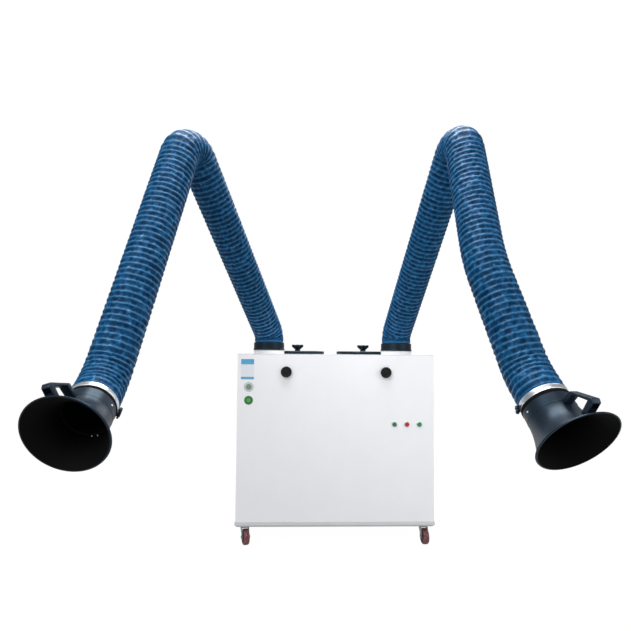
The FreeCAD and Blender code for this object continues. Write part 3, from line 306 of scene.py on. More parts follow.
def cast_tread():
    """Cast polyurethane tread: deep red, with pale painted highlights and dark painted shade in random
    patches, and fine pores.
    """
    material, tree = start("Red polyurethane tread")
    place = add(tree, "ShaderNodeTexCoord").outputs["Object"]
    painted_light_spots = add(tree, "ShaderNodeTexNoise", in_Vector=place, in_Scale=per_metre(11.1), in_Detail=5.0,
               in_Roughness=0.55)
    pores = add(tree, "ShaderNodeTexNoise", in_Vector=place, in_Scale=per_metre(2), in_Detail=3.0,
                in_Roughness=0.55)
    # The dark stop is painted shade and the pale stop a painted highlight, scattered by the noise
    stops = ((0.25, "42201f"), (0.55, form("finish").tread), (0.85, "ad878c"))
    shades = add(tree, "ShaderNodeValToRGB", stops, in_Fac=painted_light_spots)
    sheen = add(tree, "ShaderNodeMapRange", in_Value=painted_light_spots, in_To_Min=0.3, in_To_Max=0.58)
    skin = add(tree, "ShaderNodeBump", in_Strength=0.2, in_Distance=0.0005, in_Height=pores)
    shader = add(tree, "ShaderNodeBsdfPrincipled", in_Base_Color=shades, in_Roughness=sheen, in_Normal=skin)
    add(tree, "ShaderNodeOutputMaterial", in_Surface=shader)
    return material


def printed(name, pattern, field, mark):
    """Printed vinyl sticker: two flat colours split by a pattern of the piece's own UV map, half glossy."""
    material, tree = start(name)
    surface = add(tree, "ShaderNodeUVMap")
    place = add(tree, "ShaderNodeTexCoord").outputs["Object"]
    vinyl = add(tree, "ShaderNodeTexNoise", in_Vector=place, in_Scale=per_metre(1.1), in_Detail=3.0,
                in_Roughness=0.55)
    shades = add(tree, "ShaderNodeValToRGB", ((0.0, field), (1.0, mark)), in_Fac=pattern(tree, surface))
    skin = add(tree, "ShaderNodeBump", in_Strength=0.04, in_Distance=0.0002, in_Height=vinyl)
    shader = add(tree, "ShaderNodeBsdfPrincipled", in_Base_Color=shades, in_Roughness=0.35, in_Normal=skin,
                 in_Coat_Weight=0.3)
    add(tree, "ShaderNodeOutputMaterial", in_Surface=shader)
    return material


def banded(top, foot):
    """Pattern of a sticker with a band over one height and another under a second one."""
    def pattern(tree, surface):
        height = add(tree, "ShaderNodeSeparateXYZ", in_Vector=surface).outputs["Y"]
        above = add(tree, "ShaderNodeMath", operation="GREATER_THAN", in_0=height, in_1=top)
        below = add(tree, "ShaderNodeMath", operation="LESS_THAN", in_0=height, in_1=foot)
        return add(tree, "ShaderNodeMath", operation="ADD", use_clamp=True, in_0=above, in_1=below)
    return pattern


def cored(share):
    """Pattern of a round sticker with a middle of another colour."""
    def pattern(tree, surface):
        reach = add(tree, "ShaderNodeVectorMath", operation="LENGTH", in_0=surface).outputs["Value"]
        return add(tree, "ShaderNodeMath", operation="LESS_THAN", in_0=reach, in_1=share)
    return pattern


def white_coat():
    """White powder coat of the cabinet: an even satin white with a fine peel."""
    return coated("White powder coat", form("finish").sheet, "f1f2f5", rough=0.36, bump=0.06, peel=1.1)


def black_moulding():
    """Moulded black plastic of hoods, handles and lid knobs: a half gloss whose reflections are painted
    blue.
    """
    return coated("Black moulded plastic", form("finish").hood, "101821", rough=0.36, bump=0.08, peel=0.71,
                  shine=0.42, tint=PAINTED_BLUE_REFLECTION)


def black_grip():
    """Moulded black plastic of the hand knobs: deeper and duller."""
    return coated("Black grip plastic", "0d0e10", "08090a", rough=0.5, bump=0.1, peel=0.83, shine=0.3)


def painted_shade_black():
    """Moulded black inside the hoods and on their neck rings, darkened as painted shade and nearly without
    highlights.
    """
    return coated("Black moulding painted in shade", "040405", "020203", rough=0.8, bump=0.08, peel=0.71, shine=0.12)


def black_coat():
    """Black powder coat of lids and arm bases: soft wide highlights, their reflections painted blue."""
    return coated("Black powder coat", form("finish").lid, "0d1218", rough=0.42, bump=0.1, peel=0.91,
                  shine=0.35, tint=PAINTED_BLUE_REFLECTION)


def zinc():
    """Zinc plate of castors and rods: pale grey with fine streaks."""
    return brushed("Zinc plate", "b9bcc0", "8d9196", rough=0.38)


def bright_steel():
    """Polished stainless steel of bands, bezels and screws: bright, with a faint waviness."""
    return coated("Bright stainless", "eef1f5", "dfe4ea", rough=0.3, bump=0.03, metal=1.0, peel=4.2)


# Mesh helpers, working in metres


def rounded(points, radius, steps=4, closed=True):
    """Outline with each corner replaced by a small arc."""
    count = len(points)
    result = []
    for k, point in enumerate(points):
        here = Vector(point)
        if not closed and k in (0, count - 1):
            result.append(here)
            continue
        before = Vector(points[k - 1]) - here
        after = Vector(points[(k + 1) % count]) - here
        reach = min(radius, before.length * 0.45, after.length * 0.45)
        first = here + before.normalized() * reach
        last = here + after.normalized() * reach
        for step in range(steps + 1):
            t = step / steps
            result.append(first * (1 - t) ** 2 + here * 2 * t * (1 - t) + last * t ** 2)
    return result


def lathe(profile, steps=96, closed=True):
    """Mesh spun about Z from (radius, height) points."""
    bm = bmesh.new()
    verts = [bm.verts.new((max(p[0], 0.0), 0, p[1])) for p in profile]
    pairs = list(zip(verts, verts[1:]))
    if closed:
        pairs.append((verts[-1], verts[0]))
    edges = [bm.edges.new(pair) for pair in pairs]
    bmesh.ops.spin(bm, geom=verts + edges, cent=(0, 0, 0), axis=(0, 0, 1), angle=math.tau,
                   steps=steps, use_merge=True)
    bmesh.ops.remove_doubles(bm, verts=bm.verts, dist=1e-6)
    bmesh.ops.recalc_face_normals(bm, faces=bm.faces)
    return bm


def block(low, high, bevel=0.0, segments=3):
    """Box between two corners with rounded edges."""
    bm = bmesh.new()
    bmesh.ops.create_cube(bm, size=1.0)
    size = [b - a for a, b in zip(low, high)]
    centre = [(a + b) / 2 for a, b in zip(low, high)]
    bmesh.ops.scale(bm, vec=size, verts=bm.verts)
    bmesh.ops.translate(bm, vec=centre, verts=bm.verts)
    if bevel:
        soften(bm, bevel, segments)
    return bm


def soften(bm, width, segments=3, angle=30):
    """Rounds every edge sharper than an angle."""
    sharp = [e for e in bm.edges if len(e.link_faces) == 2 and e.calc_face_angle(0) > math.radians(angle)]
    bmesh.ops.bevel(bm, geom=sharp, offset=width, offset_type="OFFSET", affect="EDGES", segments=segments,
                    profile=0.5, material=-1, clamp_overlap=True)


def prism(points, width, bevel=0.0, segments=3):
    """Outline of (x, z) points, pulled along Y to a width about the middle, with rounded edges."""
    bm = bmesh.new()
    face = bm.faces.new([bm.verts.new((x, -width / 2, z)) for x, z in points])
    grown = bmesh.ops.extrude_face_region(bm, geom=[face])
    moved = [v for v in grown["geom"] if isinstance(v, bmesh.types.BMVert)]
    bmesh.ops.translate(bm, vec=(0, width, 0), verts=moved)
    bmesh.ops.recalc_face_normals(bm, faces=bm.faces)
    if bevel:
        soften(bm, bevel, segments)
    return bm


def hexagon(radius, height):
    """Hexagon head with rounded edges, from height zero upwards."""
    bm = bmesh.new()
    bmesh.ops.create_cone(bm, cap_ends=True, segments=6, radius1=radius, radius2=radius, depth=height)
    bmesh.ops.translate(bm, vec=(0, 0, height / 2), verts=bm.verts)
    soften(bm, height * 0.12, 2)
    return bm


def dome_screw(radius):
    """Domed screw head with a round socket, along +Z from height zero."""
    outline = [(0, 0), (1, 0), (0.86, 0.5), (0.5, 0.66), (0.44, 0.3), (0, 0.26)]
    scaled = [(radius * x, radius * z) for x, z in outline]
    return lathe(rounded(scaled, radius * 0.12, 3, False), 24, False)


def joined(*parts):
    """One mesh of several."""
    whole = parts[0]
    for part in parts[1:]:
        spare = bpy.data.meshes.new("part")
        part.to_mesh(spare)
        part.free()
        whole.from_mesh(spare)
        bpy.data.meshes.remove(spare)
    return whole


def put(bm, matrix):
    """Carries a mesh to its place."""
    bm.transform(matrix)
    return bm


def axes(origin, x_axis, z_axis):
    """Matrix with given X and Z directions at a point."""
    z = Vector(z_axis).normalized()
    x = Vector(x_axis)
    x = (x - z * x.dot(z)).normalized()
    y = z.cross(x)
    turn = Matrix((x, y, z)).transposed().to_4x4()
    return Matrix.Translation(Vector(origin)) @ turn


def piece(name, bm, material, body, *nodes, keep_sharp=38):
    """Object of a finished mesh that rides on a CAD body and stands for CAD nodes."""
    for face in bm.faces:
        face.smooth = True
    for edge in bm.edges:
        edge.smooth = len(edge.link_faces) != 2 or edge.calc_face_angle(0) < math.radians(keep_sharp)
    title = name.replace(" ", "_")
    mesh = bpy.data.meshes.new(title)
    bm.to_mesh(mesh)
    bm.free()
    mesh.materials.append(material)
    obj = bpy.data.objects.new(title, mesh)
    bpy.context.scene.collection.objects.link(obj)
    if body:
        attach(obj, body)
    if nodes:
        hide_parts(*nodes)
    return obj


def forwards(x, y, z):
    """Place whose Z looks towards the front."""
    return axes((x, y, z), (1, 0, 0), (0, -1, 0))


def unwrap(bm, place):
    """UV map from a function of each corner's point."""
    uv = bm.loops.layers.uv.new("UVMap")
    for face in bm.faces:
        for loop in face.loops:
            loop[uv].uv = place(loop.vert.co)


def middle(node):
    """Centre of a CAD node's box."""
    low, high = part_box(node)
    return (Vector(low) + Vector(high)) / 2


# Arms

# Heading, dip and roll of each hood in degrees, and the slack bow of its hose in metres
STANDS = {"left": (-1.0, 31.0, 43.0, 0.0), "right": (11.0, 46.0, 25.0, -0.056)}
CLASP_TURN = math.radians(25)
HANDLE_TURN = math.radians(24)

# Screws of a hood: degrees round the neck, radius and height in metres, 1 outside and -1 inside
HOOD_SCREWS = ((244.5, 0.0855, 0.026, 1), (142.5, 0.0828, 0.051, -1), (157.0, 0.0828, 0.053, -1))

# Place of the slack bow as a share of the forearm, and the stretch of hose that twists with the wrist
BOW_SHARE = 0.6
TWIST_AFTER_ELBOW = 0.40
TWIST_BEFORE_WRIST = 0.10
TWIST_INSET = 0.02

# Folds of the cloth between the ribs and the smooth collar under them, with the painted shade and highlight
# that go with them
SAG_POWER = 0.75
ROUND_STEP = 2.6
RIB_STEP = 0.83
SHARE_STEP = 0.5
FOLD_SCALE = 1.9
FOLD_DEPTH = 0.75
PINCH_SCALE = 4.3
PINCH_DEPTH = 0.55
PINCH_SHIFT = Vector((7.1, 3.3, 1.7))
BULGE_LIMIT = -0.12
FOLD_SHADE = 0.8
CUFF_SHADE = 0.55
COLLAR_FADE = 4.0
COLLAR_DROP = 0.0016
COLLAR_ROLL = 0.0014
COLLAR_SHADE = 0.4
COLLAR_GLEAM = 0.5


def arm(name):
    """Points and directions of one arm, read from the joints of the frame."""
    base = Vector(JOINTS["swivel_" + name]["pos_m"])
    shoulder = Vector(JOINTS["shoulder_" + name]["pos_m"])
    elbow = Vector(JOINTS["elbow_" + name]["pos_m"])
    wrist = Vector(JOINTS["hood_tilt_" + name]["pos_m"])
    pivot = Vector(JOINTS["shoulder_" + name]["axis"])
    *angles, bow = STANDS[name]
    heading, dip, roll = (math.radians(v) for v in angles)
    side = SIDES[name]
    hood = Vector((side * math.sin(heading), -math.cos(heading), 0)) * math.cos(dip) - UP * math.sin(dip)
    above = (UP - hood * UP.dot(hood)).normalized()
    outward = above.cross(hood)
    if outward.x * side < 0:
        outward = -outward
    handle = above * math.cos(roll) + outward * math.sin(roll)
    return {"side": side, "base": base, "shoulder": shoulder, "elbow": elbow, "wrist": wrist, "pivot": pivot,
            "hood": hood, "handle": handle, "above": above, "outward": outward, "bow": bow}


def hose_route(place):
    """Straight runs and tangent arcs of a hose as (start, way, axis, radius, length) pieces."""
    hose = form("hose")
    hood = form("hood")
    lower = (place["elbow"] - place["shoulder"]).normalized()
    fore = (place["wrist"] - place["elbow"]).normalized()
    corner = place["elbow"] + (lower - fore).normalized() * hose.elbow_lift
    points = [place["base"] + UP * hose.floor, place["shoulder"], corner, place["wrist"],
              place["wrist"] + place["hood"] * hood.reach]
    bends = [hose.shoulder_bend, hose.elbow_bend, hose.wrist_bend]
    if place["bow"]:
        points.insert(3, corner + (place["wrist"] - corner) * BOW_SHARE - place["pivot"] * place["bow"])
        bends.insert(2, hose.bow_bend)
    ways = [(b - a).normalized() for a, b in zip(points, points[1:])]
    pieces = []
    begin = points[0]
    for k, bend in enumerate(bends):
        axis = ways[k].cross(ways[k + 1])
        turn = math.atan2(axis.length, ways[k].dot(ways[k + 1]))
        axis.normalize()
        cut = bend * math.tan(turn / 2)
        end = points[k + 1] - ways[k] * cut
        pieces.append((begin, ways[k], axis, 0.0, (end - begin).length))
        pieces.append((end, ways[k], axis, bend, bend * turn))
        begin = points[k + 1] + ways[k + 1] * cut
    pieces.append((begin, ways[-1], axis, 0.0, (points[-1] - begin).length))
    return pieces


def along(pieces, distance):
    """Point and direction at a distance along a route."""
    for begin, way, axis, bend, run in pieces:
        if distance <= run or begin is pieces[-1][0]:
            break
        distance -= run
    if bend == 0.0:
        return begin + way * distance, way
    centre = begin + axis.cross(way) * bend
    turn = Matrix.Rotation(distance / bend, 3, axis)
    return centre + turn @ (begin - centre), turn @ way


def rib_form(hose, share, angle, seed):
    """Radius of the cloth at a share of a rib and an angle, and how high it stands from 0 to 1, which also
    paints shade into the folds.
    """
    sag = math.sin(math.pi * share) ** SAG_POWER
    spot = Vector((math.cos(angle) * ROUND_STEP, math.sin(angle) * ROUND_STEP,
                   seed * RIB_STEP + share * SHARE_STEP))
    fold = noise.noise(spot * FOLD_SCALE)
    pinch = noise.noise(spot * PINCH_SCALE + PINCH_SHIFT)
    draw = sag * (1.0 + FOLD_DEPTH * fold + PINCH_DEPTH * pinch)
    radius = hose.crest - hose.sag * max(draw, BULGE_LIMIT)
    return radius, min(max(1.0 - FOLD_SHADE * draw, 0.0), 1.0)


def hose_stretch(place, pieces, low, high, total):
    """Mesh of one stretch of a hose between two distances, ribs lined up with its neighbours."""
    hose = form("hose")
    pitch = (total - hose.base_cuff - hose.hood_cuff) / hose.ribs
    count = max(2, round((high - low) / pitch * hose.rings_per_rib))
    around = hose.segments
    bm = bmesh.new()
    bmesh.ops.create_grid(bm, x_segments=around, y_segments=count, size=0.5, calc_uvs=False)
    uv = bm.loops.layers.uv.new("UVMap")
    painted_shade_layer = bm.verts.layers.float.new("rib_height_and_painted_shade")
    rings = {}
    flat = {}
    for vert in bm.verts:
        turn, run = vert.co.x + 0.5, vert.co.y + 0.5
        distance = low + run * (high - low)
        key = round(run * count)
        if key not in rings:
            point, way = along(pieces, distance)
            x_axis = (place["pivot"] - way * place["pivot"].dot(way)).normalized()
            rings[key] = (point, x_axis, way.cross(x_axis))
        point, x_axis, y_axis = rings[key]
        angle = turn * math.tau
        place_in_ribs = (distance - hose.base_cuff) / pitch
        # Even painted shade on the plain cuffs, and a painted highlight fading from the collar's lower edge
        if place_in_ribs < 0 or place_in_ribs > hose.ribs:
            radius, height = hose.cuff, CUFF_SHADE
        elif place_in_ribs < hose.collar:
            edge = math.exp(-COLLAR_FADE * place_in_ribs)
            radius = hose.crest - COLLAR_DROP + COLLAR_ROLL * edge
            height = COLLAR_SHADE + COLLAR_GLEAM * edge
        else:
            index = math.floor(place_in_ribs)
            radius, height = rib_form(hose, place_in_ribs - index, angle, index)
        vert[painted_shade_layer] = height
        vert.co = point + (x_axis * math.cos(angle) + y_axis * math.sin(angle)) * radius
        flat[vert.index] = (turn, distance / pitch)
    for face in bm.faces:
        for loop in face.loops:
            loop[uv].uv = flat[loop.vert.index]
    bmesh.ops.remove_doubles(bm, verts=bm.verts, dist=1e-6)
    bmesh.ops.recalc_face_normals(bm, faces=bm.faces)
    return bm


def hood_bend(bm):
    """Shifts and slants a straight spun hood so that its mouth opens towards the handle, along +X."""
    hood = form("hood")
    begin = hood.reach + hood.neck_length
    for vert in bm.verts:
        share = min(max((vert.co.z - begin) / hood.flare_length, 0.0), 1.0)
        grown = share ** 2
        vert.co.z -= math.sin(hood.slant) * vert.co.x * grown
        vert.co.x += hood.mouth_offset * grown
    return bm


class StepOperator:
    """Common options of every building step."""
    bl_options = {"REGISTER", "UNDO"}


class EXTRACTOR_OT_finishes(StepOperator, bpy.types.Operator):
    """Give every CAD node that stays visible its real finish"""
    bl_idname = "extractor.finishes"
    bl_label = "CAD finishes"

    def execute(self, context):
        single = (
            (white_coat(), ("side_panel_left", "side_panel_right", "back_panel", "top_panel")),
            (zinc(), ("filter_rods", "castor_plates")),
            (black_moulding(), ("cable_gland",)),
            # Even dull grey
            (coated("Grey primer", "8f9296", "85888c", rough=0.55, bump=0.06), ("corner_frame",)),
            # Pale metal with wide soft spangles
            (brushed("Galvanised sheet", "aab0b4", "8c9397", rough=0.42, streak=(40, 40, 40)),
             ("partition_plate", "fan_housing", "dust_tray", "control_box")),
            # White coat of the panels, darkened as painted shade because the lip faces down under them
            (coated("White coat with painted shade", "d2d3d5", "cccdcf", rough=0.4, bump=0.06, peel=1.1), ("base_tray",)),
            # Waxy off-white
            (coated("Acetal bearing", "e6e3da", "dcd9cf", rough=0.4), ("swivel_bearings",)),
            # Dull black with open pores
            (coated("Foam rubber", "1a1a1b", "111112", rough=0.85, bump=0.4, peel=0.67), ("lid_gaskets",)),
            # Felted cream without any shine
            (coated("Filter fleece", "ddd8c6", "cfc9b4", rough=0.9, bump=0.5, peel=0.56),
             ("filter_cartridges",)),
            # Blue grey with small dimples
            (coated("Hammered motor paint", "46525f", "3a4550", rough=0.4, bump=0.3, peel=3.8),
             ("fan_motor",)),
            # Grey metal with cloudy patches
            (brushed("Cast alloy", "b4b7ba", "989b9f", rough=0.5, streak=(11.1, 11.1, 11.1)), ("impeller",)),
        )
        paired = (
            (black_coat(), ("lower_arm_", "forearm_", "wrist_fork_", "hood_bracket_")),
            # Bright metal with fine streaks
            (brushed("Turned steel", "b6b9bd", "94989d", rough=0.3), ("arm_pins_", "tilt_pin_")),
        )
        for material, nodes in single:
            self.dress(material, nodes)
        for material, stems in paired:
            self.dress(material, [stem + name for stem in stems for name in SIDES])
        return {"FINISHED"}

    def dress(self, material, nodes):
        """Puts one material on each of some CAD nodes."""
        for node in nodes:
            mesh = frame["nodes"][node].data
            mesh.materials.clear()
            mesh.materials.append(material)


class EXTRACTOR_OT_front(StepOperator, bpy.types.Operator):
    """Fold the front panel and stick on its plain stickers"""
    bl_idname = "extractor.front"
    bl_label = "Front panel"

    def execute(self, context):
        cabinet = form("cabinet")
        low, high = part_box("front_panel")
        bm = block(low, high, cabinet.fold_radius, 4)
        back = [f for f in bm.faces if f.normal.y > 0.9]
        bmesh.ops.delete(bm, geom=back, context="FACES")
        bmesh.ops.solidify(bm, geom=bm.faces, thickness=cabinet.sheet)
        piece("Front panel", bm, white_coat(), "front_panel", "front_panel")
        top = high[2]
        front = low[1]
        self.sticker("Banded sticker", front, top - cabinet.label_drop)
        pale = printed("Pale round face", cored(0.58), "c3cfc9", "7f8d86")
        green = printed("Green round face", cored(0.46), "2c7634", "56a653")
        for name, drop, radius, material in (
                ("Pale round sticker", cabinet.dot_drop, 0.0275, pale),
                ("Green round sticker", cabinet.dot_drop + cabinet.dot_step, 0.0245, green)):
            self.dot(name, front, top - drop, radius, material)
        return {"FINISHED"}

    def sticker(self, name, front, z):
        """Plain rectangle with blue bands above and below a pale field."""
        cabinet = form("cabinet")
        half = cabinet.label_width / 2
        tall = cabinet.label_height / 2
        bm = block((cabinet.label_x - half, front - 0.0004, z - tall),
                   (cabinet.label_x + half, front + 0.0002, z + tall), 0.00015, 1)
        unwrap(bm, lambda co: ((co.x - cabinet.label_x) / (2 * half) + 0.5, (co.z - z) / (2 * tall) + 0.5))
        piece(name, bm, printed(name, banded(0.74, 0.12), "e9edf4", form("finish").band), "front_panel")

    def dot(self, name, front, z, radius, material):
        """Round sticker with a thin raised edge."""
        profile = [(0, -0.0002), (radius, -0.0002), (radius, 0.0003), (radius * 0.97, 0.0005), (0, 0.0004)]
        bm = lathe(profile, 48, False)
        unwrap(bm, lambda co: (co.x / radius, co.y / radius))
        put(bm, forwards(form("cabinet").label_x + 0.008, front, z))
        piece(name, bm, material, "front_panel")


class EXTRACTOR_OT_controls(StepOperator, bpy.types.Operator):
    """Turn the bezels, the lamp lens and both push buttons"""
    bl_idname = "extractor.controls"
    bl_label = "Controls"

    def execute(self, context):
        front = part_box("front_panel")[0][1]
        places = {}
        for node in ("pilot_lens", "stop_button", "start_button"):
            at = middle(node)
            places[node] = forwards(at.x, front, at.z)
        ring = [(0.0106, -0.020), (0.0109, -0.020), (0.0109, 0.0), (0.0155, 0.0), (0.0155, 0.0036),
                (0.0137, 0.006), (0.0126, 0.006), (0.0126, 0.0008), (0.0106, 0.0008)]
        rings = [put(lathe(rounded(ring, 0.0006, 3), 64), m) for m in places.values()]
        piece("Control bezels", joined(*rings), bright_steel(), "front_panel", "control_bezels")
        dome = [(0, -0.013), (0.0105, -0.013), (0.0105, 0.0009), (0.0124, 0.0009), (0.0124, 0.0062),
                (0.0115, 0.0086), (0.0091, 0.0106), (0.0053, 0.0116), (0, 0.0119)]
        piece("Pilot lens", put(lathe(rounded(dome, 0.0015, 3, False), 56, False), places["pilot_lens"]),
              lens_glass(), "front_panel", "pilot_lens")
        cap = [(0, -0.034), (0.004, -0.034), (0.004, -0.010), (0.0102, -0.010), (0.0102, 0.0052),
               (0.0122, 0.0052), (0.0122, 0.0088), (0.0106, 0.009), (0.0098, 0.0082), (0, 0.0080)]
        finish = form("finish")
        for node, label, light, dark in (("stop_button", "Red cap", finish.stop_cap, "ad1c24"),
                                         ("start_button", "Green cap", finish.start_cap, "237a41")):
            bm = put(lathe(rounded(cap, 0.0007, 3, False), 56, False), places[node])
            # Smooth plastic with a clear gloss
            material = coated(label + " moulding", light, dark, rough=0.3, bump=0.04, peel=1.1, coat=0.3)
            piece(label, bm, material, node, node)
        return {"FINISHED"}


# Grip flutes of a hand knob, their depth as a share of its radius
FLUTES = 12
FLUTE_DEPTH = 0.03


class EXTRACTOR_OT_knobs(StepOperator, bpy.types.Operator):
    """Turn the two hand knobs of the front panel"""
    bl_idname = "extractor.knobs"
    bl_label = "Hand knobs"

    def execute(self, context):
        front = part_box("front_panel")[0][1]
        radius, depth = 0.031, 0.022
        shares = ((0.45, 0.0), (0.5, 0.25), (0.92, 0.35), (1.0, 0.5), (1.0, 0.8), (0.9, 1.0), (0.74, 1.0),
                  (0.68, 0.86), (0.42, 0.86), (0.37, 0.95), (0.0, 0.95))
        outline = [(0, -0.0355), (0.005, -0.0355), (0.005, 0.0)]
        outline += [(radius * across, depth * out) for across, out in shares]
        for name in SIDES:
            node = "panel_knob_" + name
            at = middle(node)
            bm = lathe(rounded(outline, 0.0022, 4, False), 72, False)
            self.flute(bm, radius)
            put(bm, forwards(at.x, front, at.z))
            piece("Hand knob " + name, bm, black_grip(), node, node)
        return {"FINISHED"}

    def flute(self, bm, radius):
        """Presses shallow grip flutes into the knob's rim."""
        for vert in bm.verts:
            reach = math.hypot(vert.co.x, vert.co.y)
            if reach > radius * 0.86:
                angle = math.atan2(vert.co.y, vert.co.x)
                drawn = 1 - FLUTE_DEPTH * max(math.cos(FLUTES * angle), 0.0)
                vert.co.x *= drawn
                vert.co.y *= drawn


class EXTRACTOR_OT_lids(StepOperator, bpy.types.Operator):
    """Turn the filter lids and shape their winged knobs"""
    bl_idname = "extractor.lids"
    bl_label = "Filter lids"

    def execute(self, context):
        for name in SIDES:
            low, high = (Vector(v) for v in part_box("filter_lid_" + name))
            radius = (high.x - low.x) / 2
            top = high.z - low.z
            outline = [(radius - 0.015, 0.0), (radius, 0.0), (radius, top - 0.005),
                       (radius - 0.004, top - 0.001), (radius - 0.012, top), (radius - 0.030, top),
                       (radius - 0.036, top - 0.0012), (0.045, top - 0.0012), (0.040, top), (0.0063, top),
                       (0.0063, top - 0.004), (radius - 0.015, top - 0.005)]
            bm = lathe(rounded(outline, 0.002, 3), 128)
            centre = (low + high) / 2
            put(bm, Matrix.Translation((centre.x, centre.y, low.z)))
            piece("Filter lid " + name, bm, black_coat(), "filter_lid_" + name, "filter_lid_" + name)
            at = Vector((centre.x, centre.y, high.z))
            knob = put(self.winged(), Matrix.Translation(at))
            piece("Lid knob " + name, knob, black_moulding(), "lid_knob_" + name, "lid_knob_" + name)
        return {"FINISHED"}

    def winged(self):
        """Hub with four flared wings."""
        hub = lathe(rounded([(0.0063, 0.0), (0.018, 0.0), (0.0155, 0.018), (0.0145, 0.036), (0.011, 0.040),
                             (0.0, 0.0405), (0.0, 0.027), (0.0063, 0.027)], 0.0015, 3), 48)
        outline = [(0.0098, 0.008), (0.016, 0.009), (0.0372, 0.028), (0.0372, 0.036), (0.033, 0.0415),
                   (0.0098, 0.039)]
        wings = [hub]
        for turn in range(4):
            wing = prism(outline, 0.013, 0.0022, 3)
            wings.append(put(wing, Matrix.Rotation(turn * math.pi / 2, 4, "Z")))
        return joined(*wings)


class EXTRACTOR_OT_castors(StepOperator, bpy.types.Operator):
    """Turn the wheels and press the forks of the castors"""
    bl_idname = "extractor.castors"
    bl_label = "Castors"

    def execute(self, context):
        for name in CASTORS:
            swivel = JOINTS["castor_swivel_" + name]
            roll = JOINTS["castor_roll_" + name]
            pin = Vector(swivel["pos_m"])
            axle = Vector(roll["pos_m"])
            offset = Vector((axle.x - pin.x, axle.y - pin.y, 0))
            spindle = axes(axle, UP, roll["axis"])
            body = "castor_wheel_" + name
            piece("Castor wheel " + name, put(self.wheel(axle.z), spindle), cast_tread(), body, body)
            # Dull black nylon
            nylon = coated("Black wheel core", "2b2d31", "202226", rough=0.5)
            piece("Castor core " + name, put(self.core(axle.z), spindle), nylon, body)
            fork = put(self.fork(offset.length, axle.z - pin.z), axes(pin, offset, UP))
            piece("Castor fork " + name, fork, zinc(), "castor_fork_" + name, "castor_fork_" + name)
        return {"FINISHED"}

    def wheel(self, radius):
        """Crowned tread ring."""
        half = 0.016
        side = [(radius * 0.74, half), (radius - 0.004, half), (radius, half - 0.0064)]
        return lathe(rounded(self.mirrored(side), 0.003, 4), 72)

    def core(self, radius):
        """Wheel centre with a raised hub and a hollowed web."""
        half = 0.0158
        side = [(0.0051, half), (0.014, half), (0.017, half - 0.004), (radius * 0.66, half - 0.004),
                (radius * 0.70, half - 0.001), (radius * 0.745, half - 0.001)]
        return lathe(rounded(self.mirrored(side), 0.001, 3), 64)

    def mirrored(self, side):
        """Outline with the same form on both sides of the wheel's middle."""
        return [(reach, -height) for reach, height in side] + side[::-1]

    def fork(self, trail, drop):
        """Swivel head, crown, two legs and the axle with its nuts; height zero at the base pan."""
        outline = [(0, -0.0172), (0.027, -0.0172), (0.027, -0.011), (0.0245, -0.010), (0.0245, -0.007),
                   (0.022, -0.0042), (0, -0.0042)]
        head = lathe(rounded(outline, 0.0012, 3, False), 64, False)
        inner, outer, crown = 0.0175, 0.0205, 0.026
        parts = [head, block((-crown, -outer, -0.0175), (crown, outer, -0.0142), 0.0012, 3)]
        leg = [(-crown, -0.0146), (crown, -0.0146), (trail + 0.0128, drop + 0.004),
               (trail + 0.0092, drop - 0.009), (trail, drop - 0.013), (trail - 0.0092, drop - 0.009),
               (trail - 0.0128, drop + 0.004)]
        for side in (-1, 1):
            plate = prism(leg, outer - inner, 0.0008, 2)
            parts.append(put(plate, Matrix.Translation((0, side * (inner + outer) / 2, 0))))
            nut = hexagon(0.0088, 0.0048)
            parts.append(put(nut, axes((trail, side * outer, drop), (1, 0, 0), (0, side, 0))))
        shaft = lathe([(0, -outer), (0.005, -outer), (0.005, outer), (0, outer)], 32, False)
        parts.append(put(shaft, axes((trail, 0, drop), (1, 0, 0), (0, 1, 0))))
        return joined(*parts)


class EXTRACTOR_OT_bases(StepOperator, bpy.types.Operator):
    """Turn the white spigots and the black turntables of both arms"""
    bl_idname = "extractor.bases"
    bl_label = "Arm bases"

    def execute(self, context):
        rings = []
        for name in SIDES:
            at = arm(name)["base"]
            outline = [(0.078, -0.040), (0.081, -0.040), (0.081, 0.0), (0.092, 0.0), (0.092, 0.0175),
                       (0.090, 0.020), (0.078, 0.020)]
            rings.append(put(lathe(rounded(outline, 0.0012, 3), 112), Matrix.Translation(at)))
        piece("Arm spigots", joined(*rings), white_coat(), "cabinet", "arm_spigots")
        for name in SIDES:
            place = arm(name)
            ahead = UP.cross(place["pivot"])
            outline = [(0.0721, -0.001), (0.0753, -0.001), (0.0753, 0.023), (0.094, 0.023), (0.094, 0.0285),
                       (0.0912, 0.0345), (0.091, 0.0665), (0.0896, 0.068), (0.0845, 0.068), (0.0845, 0.029),
                       (0.0805, 0.029), (0.0805, 0.068), (0.0721, 0.068)]
            ring = lathe(rounded(outline, 0.0012, 3), 112)
            bar = block((-0.018, -0.073, 0.029), (0.018, 0.073, 0.045), 0.002, 2)
            parts = [ring, bar]
            cheek = [(-0.018, 0.040), (0.018, 0.040), (0.018, 0.122), (0.0127, 0.1347), (0.0, 0.140),
                     (-0.0127, 0.1347), (-0.018, 0.122)]
            for side in (-1, 1):
                parts.append(put(prism(cheek, 0.006, 0.0008, 2), Matrix.Translation((0, side * 0.0103, 0))))
            bm = put(joined(*parts), axes(place["base"], ahead, UP))
            piece("Turntable " + name, bm, black_coat(), "turntable_" + name, "turntable_" + name)
            self.screw(name, place)
        return {"FINISHED"}

    def screw(self, name, place):
        """Small clamp screw in the turntable's cuff."""
        way = Vector((0.35 * place["side"], -1, 0)).normalized()
        at = place["base"] + way * 0.0905 + UP * 0.048
        bm = put(dome_screw(0.0045), axes(at, UP, way))
        piece("Cuff screw " + name, bm, black_moulding(), "turntable_" + name)


